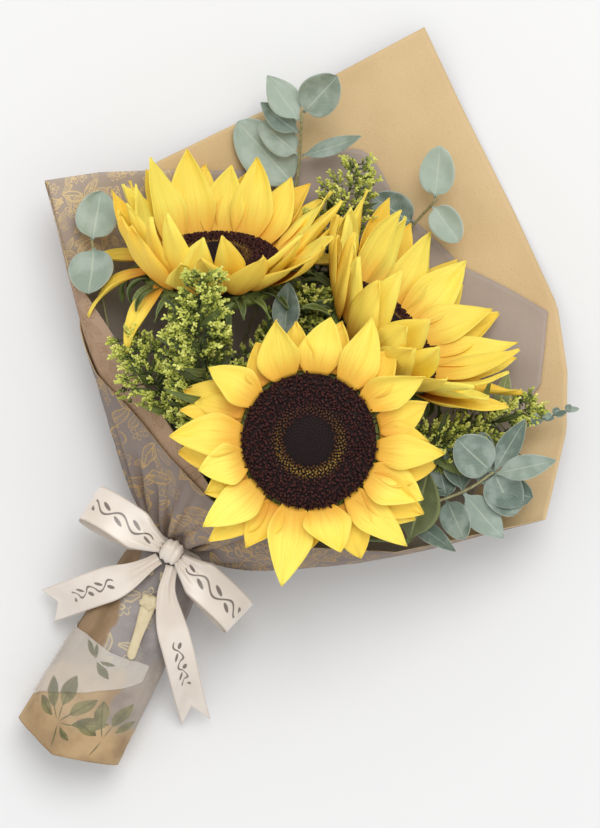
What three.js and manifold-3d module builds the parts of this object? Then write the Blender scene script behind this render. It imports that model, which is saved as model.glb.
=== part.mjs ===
// A hand-tied bunch of three sunflowers with goldenrod and eucalyptus, wrapped in two sheets of
// paper and tied with a ribbon bow. The bunch lies on its back. All sizes are in millimetres:
// +Y runs from the cut stems to the flower heads, +Z is up, and the tie is at X = 0, Y = 0.
import * as THREE from 'three';
import { mergeVertices } from 'three/addons/utils/BufferGeometryUtils.js';
import Module from 'manifold-3d';

// Driving dimensions
const touch = 0.4;             // clearance between pieces that rest on each other
const neckRadius = 19.6;       // outside of the paper where it is tied
const paperThickness = 0.8;
const paperGap = 1;            // between the kraft sheet and the lining
const wrapLength = 328;        // from the tie to the top corner of the kraft sheet
const wrapWidth = 337;         // from the lining's left corner to the kraft's right corner
const sleeveLength = 127;      // from the tie to the middle of the sleeve's lower edge
const sleeveWidth = 62;        // across the sleeve at its lower edge
const sleeveThickness = 0.7;
const vellumThickness = 0.5;
const ribbonWidth = 22;
const ribbonThickness = 0.7;
const loopLength = 46;
const loopHeight = 18;
const knotSize = 13;
const discRadius = 36.5;
const petalLength = 45;        // of a petal in a half-open head
const petalThickness = 1;
const stalkRadius = 4.5;
const sprigRadius = 1.4;
const leafThickness = 0.9;
const goldenrodRadius = 9;

const sheetInset = paperThickness + paperGap;
const ribbonInner = neckRadius + touch;
const neckHeight = neckRadius + 2.4;      // height of the tie's centre above the table
const lengthScale = wrapLength / 328;
const widthScale = wrapWidth / 337;
const tieInner = neckRadius - sheetInset - paperThickness - touch - 1.4;

const colours = {
  kraft: 0xd1b78a, lining: 0xa99c90, sleeve: 0xa1896d, vellum: 0xbcaf9f, string: 0xb9a27a,
  ribbon: 0xd5c8ba, petal: 0xf8de4e, innerPetal: 0xf2c23a, disc: 0x2a1712, bract: 0x6f8442,
  stalk: 0x6c7f3c, sprig: 0x8b9a72, leaf: 0x59662f, paleLeaf: 0x8c9a63, goldenrod: 0xa9a33f,
  eucalyptus: 0xafbaab,
};

const wasm = await Module();
wasm.setup();

const bunch = new THREE.Group();
const point = (x, y, z) => new THREE.Vector3(x, y, z);
const spread = (x, y, z) => point(x * widthScale, y * lengthScale, z);
const mix = THREE.MathUtils.lerp;
const degrees = THREE.MathUtils.degToRad;

function finish(geometry) {
  for (const name of ['normal', 'uv']) geometry.deleteAttribute(name);
  const solid = mergeVertices(geometry, 1e-4);
  const place = solid.attributes.position;
  const all = Array.from(solid.index.array);
  const index = all.filter((_, i) => new Set(all.slice(i - (i % 3), i - (i % 3) + 3)).size === 3);
  const [a, b, c] = [point(), point(), point()];
  let volume = 0;
  for (let i = 0; i < index.length; i += 3) {
    a.fromBufferAttribute(place, index[i]);
    b.fromBufferAttribute(place, index[i + 1]);
    c.fromBufferAttribute(place, index[i + 2]);
    volume += a.dot(b.cross(c));
  }
  solid.setIndex(volume < 0 ? index.reverse() : index);
  solid.computeVertexNormals();
  return solid;
}

function add(name, geometry, colour, roughness = 0.8) {
  const material = new THREE.MeshStandardMaterial({ color: colour, roughness, metalness: 0 });
  const mesh = new THREE.Mesh(finish(geometry), material);
  mesh.name = name;
  bunch.add(mesh);
}

// Two shapes that grew together, joined into one solid.
function grown(one, other) {
  const solid = (geometry) => {
    const closed = finish(geometry);
    return new wasm.Manifold(new wasm.Mesh({
      numProp: 3,
      vertProperties: new Float32Array(closed.attributes.position.array),
      triVerts: new Uint32Array(closed.index.array),
    }));
  };
  const mesh = solid(one).add(solid(other)).getMesh();
  const geometry = new THREE.BufferGeometry();
  geometry.setAttribute('position', new THREE.BufferAttribute(mesh.vertProperties, 3));
  return geometry.setIndex(Array.from(mesh.triVerts));
}

function normalOf(face, u, v) {
  const step = 0.004;
  const along = face(Math.min(u + step, 1), v).sub(face(Math.max(u - step, 0), v));
  const up = face(u, Math.min(v + step, 1)).sub(face(u, Math.max(v - step, 0)));
  return along.cross(up).normalize();
}

// A thin sheet on the surface face(u, v), as thick as given on the side its normal points to,
// or with its other side on back(u, v). A ring is a sheet whose last column joins its first.
// Its rows are evenly spaced unless their heights are given.
function shell({ face, back, columns, rows, thickness, ring = false, heights }) {
  const across = Array.from({ length: columns + 1 }, (_, i) => i / columns);
  const up = heights ?? Array.from({ length: rows + 1 }, (_, j) => j / rows);
  const behind = back ?? ((u, v) => face(u, v).addScaledVector(normalOf(face, u, v), thickness));
  const wide = ring ? across.length - 1 : across.length;
  const size = wide * up.length;
  const places = [];
  for (const side of [face, behind]) {
    for (const v of up) {
      for (const u of across.slice(0, wide)) places.push(...side(u, v).toArray());
    }
  }
  const at = (side, i, j) => side * size + j * wide + (i % wide);
  const faces = [];
  const quad = (a, b, c, d) => faces.push(a, b, c, a, c, d);
  const spans = across.length - 1;
  for (let j = 0; j < up.length - 1; j++) {
    for (let i = 0; i < spans; i++) {
      quad(at(1, i, j), at(1, i + 1, j), at(1, i + 1, j + 1), at(1, i, j + 1));
      faces.push(at(0, i, j), at(0, i + 1, j + 1), at(0, i + 1, j));
      faces.push(at(0, i, j), at(0, i, j + 1), at(0, i + 1, j + 1));
    }
  }
  const last = up.length - 1;
  for (let i = 0; i < spans; i++) {
    quad(at(0, i, 0), at(0, i + 1, 0), at(1, i + 1, 0), at(1, i, 0));
    quad(at(1, i, last), at(1, i + 1, last), at(0, i + 1, last), at(0, i, last));
  }
  for (let j = 0; j < last && !ring; j++) {
    quad(at(1, 0, j), at(1, 0, j + 1), at(0, 0, j + 1), at(0, 0, j));
    quad(at(0, spans, j), at(0, spans, j + 1), at(1, spans, j + 1), at(1, spans, j));
  }
  const geometry = new THREE.BufferGeometry();
  geometry.setAttribute('position', new THREE.Float32BufferAttribute(places, 3));
  geometry.setIndex(faces);
  return geometry;
}

// A round stalk along a curve: each station is [share of the curve, radius].
function stalk(curve, stations, sides = 6) {
  const rod = new THREE.CylinderGeometry(1, 1, 1, sides, stations.length - 1);
  const place = rod.attributes.position;
  for (let i = 0; i < place.count; i++) {
    const k = Math.round((place.getY(i) + 0.5) * (stations.length - 1));
    const [share, radius] = stations[k];
    const centre = curve.getPoint(share);
    const ahead = curve.getTangent(share);
    const side = point(1, 0, 0).projectOnPlane(ahead).normalize();
    const over = ahead.clone().cross(side);
    const x = place.getX(i) * radius;
    const z = place.getZ(i) * radius;
    centre.addScaledVector(side, x).addScaledVector(over, -z);
    place.setXYZ(i, centre.x, centre.y, centre.z);
  }
  return rod;
}

function ringAt(inner, outer, from, to, sides) {
  const profile = [[inner, from], [outer, from], [outer, to], [inner, to], [inner, from]];
  const ring = new THREE.LatheGeometry(profile.map(([r, y]) => new THREE.Vector2(r, y)), sides);
  return ring.translate(0, 0, neckHeight);
}

// The paper funnel. Each ray leaves the tie at an angle round the neck (0 is right, 90 is the
// front, 270 the table) and runs to a far point. The last numbers are the share of the ray that
// the kraft and the lining cover, and how far the ray bellies outwards.
const rays = [
  [65, 37, 36, 78, 1, 0, 5], [92, 4, 40, 77, 0.93, 1, 5], [112, -31, 58, 73, 0.8, 1, 4],
  [132, -71, 78, 66, 0.71, 1, 3], [152, -130, 108, 57, 0.6, 1, 2], [172, -166, 143, 46, 0.62, 1, 2],
  [184, -143, 163, 31, 0.76, 1, 1], [196, -119, 184, 18, 1, 0.98, 1],
  [207, -96, 219, 11, 1, 0.9, 0.5], [218, -72, 254, 6, 1, 0.84, 0], [240, -25, 328, 15, 1, 0.76, 0],
  [262, 21, 297, 5, 1, 0.78, 0], [284, 73, 263, 2, 1, 0.84, 0], [304, 120, 229, 9, 1, 0.95, 0],
  [322, 143, 199, 18, 1, 0.89, 1], [340, 158, 170, 29, 1, 0.8, 3], [362, 171, 120, 54, 1, 0.7, 7],
  [382, 127, 80, 70, 1, 0.66, 9], [396, 107, 63, 74, 1, 0.62, 8], [410, 59, 38, 76, 1, 0, 6],
  [423.5, 38.5, 36, 78, 1, 0, 5],
];
const neckTop = 5;             // the paper runs straight between these two along the tie
const neckBottom = -12;
const laid = (angle) => THREE.MathUtils.smoothstep(-Math.sin(angle), 0.3, 0.7);

function rayPoint(place, v) {
  const low = Math.min(Math.floor(place), rays.length - 2);
  const share = place - low;
  const blend = rays[low].map((value, k) => mix(value, rays[low + 1][k], share));
  const [turn, x, y, z, , , belly] = blend;
  const angle = degrees(turn);
  const out = point(Math.cos(angle), 0, Math.sin(angle));
  const start = out.clone().multiplyScalar(neckRadius).add(point(0, neckTop, neckHeight));
  if (v < 0) return start.setY(mix(neckTop, neckBottom, -v));
  const ray = spread(x, y, z).sub(start);
  const swell = out.projectOnPlane(ray.clone().normalize()).normalize();
  const here = start.clone().addScaledVector(ray, v);
  const flat = start.z * (1 - v) ** 4 + z * v ** 4 - Math.min(1.5, 12 * v);
  here.z = mix(here.z, Math.max(0, flat), laid(angle));
  return here.addScaledVector(swell, belly * 4 * v * (1 - v));
}

const paperSteps = [-1, 0, 0.1, 0.26, 0.42, 0.58, 0.76, 0.9, 1];

// Both sheets are the same surface at different depths: every ray is a chain of straight steps,
// and a sheet stops on that chain where its own edge comes.
function paper(name, first, last, depth, reachColumn, colour) {
  const lastStep = paperSteps.length - 1;
  const surface = (u, v) => {
    const slot = v * lastStep;
    const low = Math.min(Math.floor(slot), lastStep - 1);
    return rayPoint(u * (rays.length - 1), mix(paperSteps[low], paperSteps[low + 1], slot - low));
  };
  const chain = (ray, step, deep) => {
    const [u, v] = [ray / (rays.length - 1), step / lastStep];
    return surface(u, v).addScaledVector(normalOf(surface, u, v), deep);
  };
  const cut = (ray, row, deep) => {
    const reach = rays[ray][reachColumn];
    if (paperSteps[row] <= reach) return chain(ray, row, deep);
    const above = paperSteps.findIndex((step) => step > reach);
    const share = (reach - paperSteps[above - 1]) / (paperSteps[above] - paperSteps[above - 1]);
    return chain(ray, above - 1, deep).lerp(chain(ray, above, deep), share);
  };
  const columns = last - first;
  const faces = (deep) => (u, v) => {
    return cut(first + Math.round(u * columns), Math.round(v * lastStep), deep);
  };
  const geometry = shell({
    face: faces(depth), back: faces(depth + paperThickness), columns, rows: lastStep,
  });
  add(name, geometry, colour, 0.85);
}

paper('kraft_sheet', 0, rays.length - 1, 0, 4, colours.kraft);
paper('lining_sheet', 1, rays.length - 3, sheetInset, 5, colours.lining);

// The sleeve round the stem ends is an oval roll that overlaps at its right front.
const sleeveTop = -5.8;
const sleeveStart = 20;        // degrees round the neck, as for the rays
const sleeveTurn = 372;
const sleeveSpiral = 1.4;      // how much wider its last edge is than its first

function sleevePoint(turn, v, proud = 0) {
  const angle = degrees(turn);
  const share = (turn - sleeveStart) / sleeveTurn;
  const open = v ** 0.55;      // it flares soonest just below the tie
  const snug = neckRadius + touch + sleeveThickness;
  const half = mix(snug, sleeveWidth / 2 - 0.5, open) + share * sleeveSpiral + proud;
  const deep = snug + share * sleeveSpiral + proud;
  const end = -sleeveLength + 6 - 10 * Math.max(0, Math.sin(angle)) ** 2;
  const centre = point(3 * open, mix(sleeveTop, end, v), neckHeight);
  return centre.add(point(half * Math.cos(angle), 0, deep * Math.sin(angle)));
}

add('handle_sleeve', shell({
  face: (u, v) => sleevePoint(sleeveStart + u * sleeveTurn, v),
  columns: 24, rows: 4, thickness: -sleeveThickness,
}), colours.sleeve, 0.8);

add('vellum_wrap', shell({
  face: (u, v) => {
    const turn = mix(46, 214, u);
    const low = mix(0.56, 0.88, u);
    return sleevePoint(turn, mix(0.46, low, v), touch + 0.2);
  },
  columns: 12, rows: 2, thickness: vellumThickness,
}), colours.vellum, 0.5);

// Stems pass the tie in two rings: three flower stalks in the middle, thin sprigs round them.
const handleEnd = -sleeveLength + 17;
const crowd = 1.2;             // how much wider the stems stand at their cut ends

function stemCurve(turn, radius, ...places) {
  const angle = degrees(turn);
  const out = point(Math.cos(angle), 0, Math.sin(angle));
  const at = (y, wide) => point(0, y, neckHeight).addScaledVector(out, radius * wide);
  const start = [at(handleEnd, crowd), at(-45, 1.05), at(-8, 1), at(8, 1)];
  const onward = places.map((place) => spread(...place));
  return new THREE.CatmullRomCurve3([...start, ...onward], false, 'centripetal');
}

const even = (count, radius) => Array.from({ length: count + 1 }, (_, i) => [i / count, radius]);

// A sunflower head: the disc's centre, the way it faces, which way its upper side points, its
// petals' turn (in petals) and length, and how steeply they stand forward of the disc: at its
// sides, and how much more at its upper and at its lower side. Neck: where its stalk passes the
// tie, as angle and radius. Route: the stalk's way from there.
const heads = {
  front: {
    centre: [35.3, 92.2, 114], faces: [0, 0, 1], up: [-0.5, 0.866, 0], turn: 0.5,
    long: petalLength - 11.5, lift: [12, 0, 0], neck: [90, 6.6],
    route: [[2, 36, 33], [16, 62, 44], [29, 80, 55]],
  },
  left: {
    centre: [-58, 150.8, 62], faces: [-0.4455, 0.7716, 0.454], up: [0, 0, 1], turn: 0.5,
    long: petalLength - 4, lift: [52, 10, 0], neck: [210, 6.6],
    route: [[-10, 42, 20], [-24, 82, 29]],
  },
  right: {
    centre: [43.4, 163.4, 55], faces: [0.31, 0.852, 0.4226], up: [0, 0, 1], turn: 0.7,
    long: petalLength, lift: [44, 24, 12], neck: [330, 6.6],
    route: [[9, 42, 18], [20, 84, 25]],
  },
};

function headFrame({ centre, faces, up }) {
  const ahead = point(...faces).normalize();
  const over = point(...up).projectOnPlane(ahead).normalize();
  return { middle: spread(...centre), ahead, over, side: over.clone().cross(ahead) };
}

// A ring of pointed petals that are one piece at their bases.
function petalRing(frame, {
  count, radius, back, long, lift, phase, slim = 0.42, thickness = petalThickness, cuts = 4,
}) {
  const { middle, ahead, over, side } = frame;
  const face = (u, v) => {
    const turn = u * count;
    const across = Math.abs((turn % 1) - 0.5) * 2;
    const angle = 2 * Math.PI * (u + phase / count);
    const near = Math.cos(angle);
    const bowed = lift[1] * Math.max(0, near) ** 2 + lift[2] * Math.max(0, -near) ** 2;
    const rise = degrees(lift[0] + bowed);
    const uneven = 1 + 0.05 * Math.sin(2.4 * Math.floor(turn % count));
    const reach = long * mix(slim, across === 1 ? 1 : uneven, 1 - across ** 1.6) * v;
    const out = over.clone().multiplyScalar(near).addScaledVector(side, Math.sin(angle));
    return middle.clone().addScaledVector(out, radius + reach * Math.cos(rise))
      .addScaledVector(ahead, reach * Math.sin(rise) - back);
  };
  return shell({ face, columns: count * cuts, rows: cuts / 2, thickness, ring: true });
}

function turnTo(geometry, frame) {
  const basis = new THREE.Matrix4().makeBasis(frame.side, frame.ahead, frame.over);
  return geometry.applyMatrix4(basis.setPosition(frame.middle));
}

const discBack = 5;
for (const [name, head] of Object.entries(heads)) {
  const frame = headFrame(head);
  const profile = [
    [0, -discBack], [discRadius - 2, -discBack], [discRadius, -2], [discRadius, 2], [30, 6.5],
    [19, 7], [14, 9], [7, 11], [0, 11.5],
  ].map(([r, y]) => new THREE.Vector2(r, y));
  add(`disc_${name}`, turnTo(new THREE.LatheGeometry(profile, 16), frame), colours.disc, 0.95);
  const lifted = (more) => [head.lift[0] + more, head.lift[1], head.lift[2]];
  const inner = discRadius + petalThickness + touch;
  const outer = inner + 1.8;
  const bracts = outer + 1.6;
  add(`petals_inner_${name}`, petalRing(frame, {
    count: 13, radius: inner, back: 0, long: head.long * 0.93, lift: lifted(3), phase: 0,
  }), colours.innerPetal, 0.6);
  add(`petals_outer_${name}`, petalRing(frame, {
    count: 13, radius: outer, back: 2, long: head.long, lift: lifted(-5), phase: head.turn,
  }), colours.petal, 0.6);
  add(`bracts_${name}`, petalRing(frame, {
    count: 13, radius: bracts, back: 4.8, long: 15, lift: lifted(-16), phase: 0.25, slim: 0.3,
    thickness: -petalThickness, cuts: 2,
  }), colours.bract, 0.8);
  const cup = [[discBack + touch, bracts - touch], [9, bracts - 2], [16, 27], [23, 12], [30, 5.4]];
  const from = (back) => frame.middle.clone().addScaledVector(frame.ahead, -back);
  const stem = stemCurve(head.neck[0], head.neck[1], ...head.route);
  const depth = 46;
  stem.points.push(from(depth), from(depth / 2), from(discBack + touch));
  const steps = 11;
  const shareAt = (back) => {
    const far = (share) => stem.getPoint(share).distanceTo(from(back));
    const shares = Array.from({ length: 800 }, (_, i) => 0.6 + 0.0005 * i);
    return shares.reduce((best, share) => (far(share) < far(best) ? share : best));
  };
  const cupStations = cup.slice(1).map(([back, radius]) => [shareAt(back), radius]).reverse();
  const straight = shareAt(depth);
  const slim = Array.from({ length: steps }, (_, i) => [straight * i / steps, stalkRadius]);
  const stations = [...slim, ...cupStations, [1, cup[0][1]]];
  add(`stalk_${name}`, stalk(stem, stations, 10), colours.stalk, 0.7);
}

// A leaf blade from its base to its tip. Its normal leans from straight up, and it is cupped.
function blade(base, tip, width, lean = [0, 0], cup = 0.12, round = 0.55) {
  const along = tip.clone().sub(base);
  const up = point(lean[0], lean[1], 1).projectOnPlane(along).normalize();
  const side = along.clone().normalize().cross(up);
  const face = (u, v) => {
    const broad = Math.max(0, (v - 0.12) / 0.88);
    const half = width / 2 * Math.max(0.11, Math.sin(Math.PI * mix(0, 0.97, broad)) ** round);
    const across = (u - 0.5) * 2;
    const rise = width * cup * (across * across * (half / width * 2) - Math.sin(Math.PI * v) * 0.6);
    return base.clone().addScaledVector(along, v).addScaledVector(side, across * half)
      .addScaledVector(up, rise);
  };
  const heights = [0, 0.12, 0.25, 0.45, 0.68, 0.88, 1];
  return shell({ face, columns: 2, heights, thickness: leafThickness });
}

// Eucalyptus: each sprig has a thin stem and leaves. A leaf is [how far up the bunch it leaves
// the stem, the way from there to its tip, width, lean].
const eucalyptus = {
  left: {
    neck: [176, 13.2], route: [[-38, 36, 33], [-78, 74, 43], [-108, 108, 50], [-125, 128, 51]],
    leaves: [[128, [-13, 22, -2], 22, [0.1, -0.1]], [125, [14, -20, 10], 24, [-0.1, -0.1]]],
  },
  top: {
    neck: [252, 13.2],
    route: [[-12, 60, 7], [-26, 130, 6], [-36, 190, 7], [-44, 216, 13], [-60, 250, 30]],
    leaves: [
      [247, [-24, 8, 6], 16, [0.2, 0.1]], [250, [2, 23, 13], 20, [-0.1, -0.2]],
      [240, [-23, 2, 2], 12, [0, 0.2]], [230, [-23, 2, 0], 15, [0.1, -0.1]],
      [215, [-40, 9, -1], 26, [0.1, 0]], [228, [19, 24, 12], 9, [-0.4, 0]],
    ],
  },
  right: {
    neck: [289, 13.2], route: [[8, 60, 6], [16, 130, 5.5], [20, 190, 5], [25, 224, 6.5], [30, 246, 23]],
    leaves: [
      [246, [-13, 23, 4], 19, [-0.2, 0]], [242, [21, -7, 4], 17, [0.1, -0.1]],
      [230, [-24, -3, 2], 20, [0.1, 0]],
    ],
  },
  centre: {
    neck: [88, 13.2], route: [[-6, 42, 48], [-9, 84, 68], [-6, 118, 80], [-4, 134, 88]],
    leaves: [[134, [-12, 24, 6], 14, [-0.3, 0]], [131, [19, 12, 4], 7, [0, -0.4]]],
  },
  lower: {
    neck: [24, 13.2], route: [[46, 36, 46], [80, 64, 61], [104, 88, 68], [124, 112, 72], [132, 128, 74]],
    leaves: [
      [127, [-21, 2, 8], 19, [0.1, 0]], [120, [22, 8, -3], 16, [0, 0.1]],
      [128, [19, 21, 6], 11, [-0.2, 0]], [102, [16, -9, 9], 13, [0, 0]],
      [110, [26, -6, -4], 15, [0.1, 0.1]], [84, [28, -1, 14], 9, [0, 0.3]],
    ],
  },
};

function shareAtHeight(curve, y) {
  const shares = Array.from({ length: 1001 }, (_, i) => i / 1000);
  return shares.find((share) => curve.getPoint(share).y >= y * lengthScale - 0.01) ?? 1;
}

for (const [name, sprig] of Object.entries(eucalyptus)) {
  const curve = stemCurve(sprig.neck[0], sprig.neck[1], ...sprig.route);
  add(`eucalyptus_stem_${name}`, stalk(curve, even(12, sprigRadius)), colours.sprig, 0.8);
  sprig.leaves.forEach(([height, way, width, lean], i) => {
    const share = shareAtHeight(curve, height);
    const reach = point(...way);
    const off = reach.clone().projectOnPlane(curve.getTangent(share)).normalize();
    const base = curve.getPoint(share).addScaledVector(off, sprigRadius + touch + 0.5);
    const plate = blade(base, base.clone().add(reach), width, lean);
    add(`eucalyptus_leaf_${name}_${i + 1}`, plate, colours.eucalyptus, 0.7);
  });
}

// The tiny last shoot at the right edge is one piece, thicker where its leaves crowd.
const tipShoot = stemCurve(346, 13.2, [60, 46, 34], [106, 100, 42], [134, 156, 48], [151, 178, 52]);
const tipStations = even(11, sprigRadius - 0.2).map(([share, radius]) => [share * 0.95, radius]);
const tuft = [[0.965, 4.5], [0.985, 5], [1, 1]];
add('eucalyptus_tip_right', stalk(tipShoot, [...tipStations, ...tuft]), colours.eucalyptus, 0.8);

// Sunflower leaves, each blade grown together with its own leaf stalk.
const leaves = {
  front: {
    neck: [60, 13.2], route: [[44, 34, 56], [84, 58, 76], [110, 72, 88]], tip: [-10, 38, 4],
    width: 22,
  },
  right: {
    neck: [324, 13.2], route: [[42, 46, 18], [92, 108, 29], [122, 153, 33]], tip: [-9, 28, 2],
    width: 9,
  },
};
for (const [name, leaf] of Object.entries(leaves)) {
  const curve = stemCurve(leaf.neck[0], leaf.neck[1], ...leaf.route);
  const rod = stalk(curve, even(10, sprigRadius));
  const base = curve.getPoint(1).addScaledVector(curve.getTangent(1), -sprigRadius);
  const plate = blade(base, base.clone().add(point(...leaf.tip)), leaf.width, [0, 0], 0.1, 0.8);
  add(`leaf_${name}`, grown(rod, plate), name === 'front' ? colours.leaf : colours.paleLeaf, 0.7);
}

// Goldenrod: a thin stem that fills out to a plume over its last stretch.
const goldenrod = {
  low: {
    neck: [158, 13.2], route: [[-24, 40, 46], [-38, 66, 69], [-60, 81, 77], [-80, 90, 78]],
    plume: 0.3, fat: 0.8,
  },
  middle: {
    neck: [140, 13.2], route: [[-14, 44, 52], [-24, 78, 72], [-38, 102, 80], [-56, 117, 84]],
    plume: 0.28, fat: 0.85,
  },
  upper: {
    neck: [122, 13.2],
    route: [[-8, 48, 62], [-20, 80, 90], [-36, 101, 108], [-50, 121, 124], [-57, 141, 137]],
    plume: 0.24, fat: 0.8,
  },
  centre: {
    neck: [105, 13.2], route: [[-4, 46, 40], [-3, 90, 52], [-4, 130, 64], [-3, 166, 76]],
    plume: 0.22, fat: 0.75,
  },
  far: {
    neck: [270, 13.2], route: [[-2, 60, 8], [-6, 130, 10], [-8, 184, 24], [-18, 240, 36]],
    plume: 0.24, fat: 1,
  },
  right: {
    neck: [5, 13.2], route: [[50, 50, 38], [84, 98, 50], [104, 132, 53], [136, 173, 47]],
    plume: 0.34, fat: 0.75,
  },
  near: {
    neck: [42, 13.2], route: [[42, 44, 50], [70, 82, 66], [90, 112, 70], [111, 142, 63]],
    plume: 0.3, fat: 0.65,
  },
};
for (const [name, { neck, route, plume, fat }] of Object.entries(goldenrod)) {
  const curve = stemCurve(neck[0], neck[1], ...route);
  const thin = even(8, sprigRadius).map(([share, radius]) => [share * (1 - plume), radius]);
  const swell = [[0.15, 0.55], [0.35, 0.95], [0.55, 1], [0.78, 0.75], [0.93, 0.4], [1, 0.12]]
    .map(([share, part]) => [1 - plume + share * plume, part * fat * goldenrodRadius]);
  add(`goldenrod_${name}`, stalk(curve, [...thin, ...swell], 7), colours.goldenrod, 0.9);
}

// What ties it: string round the stems, then the ribbon's band, knot, loops and tails.
add('stem_tie', ringAt(tieInner, tieInner + 1.4, -5, 4, 18), colours.string, 0.9);
add('ribbon_band', ringAt(ribbonInner, ribbonInner + ribbonThickness, -5, 5, 24), colours.ribbon, 0.4);

const knotHeight = neckHeight + ribbonInner + ribbonThickness + knotSize / 2 + 0.3;
const knot = new THREE.SphereGeometry(1, 10, 7).scale(knotSize / 2, knotSize / 2, knotSize / 2 - touch);
add('ribbon_knot', knot.translate(0, 0, knotHeight), colours.ribbon, 0.4);

const loopStart = knotSize / 2 + touch + 0.5;
function bowLoop(name, turn, drop) {
  const away = point(Math.cos(degrees(turn)), Math.sin(degrees(turn)), 0);
  const side = point(-away.y, away.x, 0);
  const face = (u, v) => {
    const round = 2 * Math.PI * u;
    const open = (1 - Math.cos(round)) / 2;
    const rise = Math.sin(round) * loopHeight / 2 + Math.cos(round / 2) * 1.4 - drop * open;
    const width = ribbonWidth * mix(0.36, 1, Math.min(1, open * 3));
    return point(0, 0, knotHeight + rise).addScaledVector(away, loopStart + loopLength * open)
      .addScaledVector(side, (v - 0.5) * width);
  };
  add(name, shell({ face, columns: 20, rows: 2, thickness: ribbonThickness }), colours.ribbon, 0.4);
}
bowLoop('ribbon_loop_left', 179, 2);
bowLoop('ribbon_loop_right', -14, 3);

function tail(name, places, turnEnd, endWidth) {
  const curve = new THREE.CatmullRomCurve3(places.map((p) => point(...p)), false, 'centripetal');
  const face = (u, v) => {
    const notch = 1 - 0.12 * (1 - Math.abs(2 * u - 1)) * v;
    const here = curve.getPoint(v * notch);
    const ahead = curve.getTangent(v * notch);
    const flat = point(-ahead.y, ahead.x, 0).normalize();
    const side = flat.multiplyScalar(Math.cos(degrees(turnEnd * v)))
      .addScaledVector(point(0, 0, 1), Math.sin(degrees(turnEnd * v)));
    const width = mix(ribbonWidth * 0.3, endWidth, Math.min(1, v * 2.4));
    return here.addScaledVector(side, (u - 0.5) * width);
  };
  add(name, shell({ face, columns: 4, rows: 10, thickness: ribbonThickness }), colours.ribbon, 0.4);
}
const tailStart = knotSize / 2 + touch + 0.4;
tail('ribbon_tail_left', [
  [-4.2, -tailStart, knotHeight - 2], [-14, -24, 47], [-31, -45, 35], [-46, -64, 9],
], 0, ribbonWidth - 2);
tail('ribbon_tail_right', [
  [4.2, -tailStart, knotHeight - 2], [9, -21, 47], [18, -33, 46], [34, -50, 39], [48, -66, 24],
  [60, -79, 8],
], 20, ribbonWidth - 4);

// The part's own frame: its lowest point is on the table, and its origin is under its middle.
bunch.updateMatrixWorld(true);
const box = new THREE.Box3().setFromObject(bunch, true);
bunch.position.set(-(box.min.x + box.max.x) / 2, -(box.min.y + box.max.y) / 2, -box.min.z);

export default bunch;
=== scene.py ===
# A hand-tied bunch of sunflowers with goldenrod and eucalyptus, in two sheets of paper and a ribbon bow.
# It lies on its back on a pale table. In the dictionaries, places are millimetres from the tie on the
# table and angles are degrees.
import math
import random

import bmesh
import bpy
import numpy as np
from mathutils import Matrix, Vector, noise


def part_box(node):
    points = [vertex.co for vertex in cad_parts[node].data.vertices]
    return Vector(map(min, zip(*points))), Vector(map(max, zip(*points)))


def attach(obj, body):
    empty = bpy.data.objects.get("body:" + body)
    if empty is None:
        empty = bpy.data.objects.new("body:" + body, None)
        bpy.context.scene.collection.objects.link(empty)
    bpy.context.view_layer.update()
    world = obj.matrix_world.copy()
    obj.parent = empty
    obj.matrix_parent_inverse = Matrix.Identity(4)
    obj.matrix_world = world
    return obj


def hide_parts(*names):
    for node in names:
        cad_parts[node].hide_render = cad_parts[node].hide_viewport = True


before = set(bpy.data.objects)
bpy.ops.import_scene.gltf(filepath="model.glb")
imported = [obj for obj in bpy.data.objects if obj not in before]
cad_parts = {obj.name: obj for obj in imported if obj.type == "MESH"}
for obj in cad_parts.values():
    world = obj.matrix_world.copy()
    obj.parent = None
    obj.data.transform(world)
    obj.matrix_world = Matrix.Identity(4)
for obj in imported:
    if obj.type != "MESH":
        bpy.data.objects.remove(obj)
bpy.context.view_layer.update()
print("frame loaded:", len(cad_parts), "nodes")

mm = 0.001
upward = Vector((0, 0, 1))
bandLow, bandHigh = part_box("ribbon_band")
tie = Vector(((bandLow.x + bandHigh.x) / 2, (bandLow.y + bandHigh.y) / 2, 0))
neckHeight = (bandLow.z + bandHigh.z) / 2 / mm


def placed(point):
    return tie + point * mm


def lerp(a, b, t):
    return a + (b - a) * t


def ease(low, high, value):
    t = max(0.0, min(1.0, (value - low) / (high - low)))
    return t * t * (3 - 2 * t)


def wave(x, y=0.0, z=0.0):
    return noise.noise(Vector((x, y, z)))


# shading helpers

def tint(code, alpha=1.0):
    parts = [int(code[i:i + 2], 16) / 255 for i in (0, 2, 4)]
    return (*[p / 12.92 if p <= 0.04045 else ((p + 0.055) / 1.055) ** 2.4 for p in parts], alpha)


def startLook(name, roughness=0.6, **sockets):
    look = bpy.data.materials.new(name)
    look.use_nodes = True
    shader = look.node_tree.nodes["Principled BSDF"]
    shader.inputs["Roughness"].default_value = roughness
    for socket, value in sockets.items():
        shader.inputs[socket.replace("_", " ")].default_value = value
    return look, look.node_tree, shader


def addNode(tree, kind, inputs=None, **settings):
    node = tree.nodes.new("ShaderNode" + kind)
    for key, value in settings.items():
        setattr(node, key, value)
    for key, value in (inputs or {}).items():
        if isinstance(value, bpy.types.NodeSocket):
            tree.links.new(value, node.inputs[key])
        else:
            node.inputs[key].default_value = value
    return node


def treeOf(values):
    # the material that the first of the sockets is in
    return next(value.id_data for value in values if isinstance(value, bpy.types.NodeSocket))


def calc(operation, *values):
    return addNode(treeOf(values), "Math", dict(enumerate(values)), operation=operation).outputs[0]


def times(a, b):
    return calc("MULTIPLY", a, b)


def plus(a, b):
    return calc("ADD", a, b)


def minus(a, b):
    return calc("SUBTRACT", a, b)


def moved(operation, *values):
    return addNode(treeOf(values), "VectorMath", dict(enumerate(values)), operation=operation).outputs[0]


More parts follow.
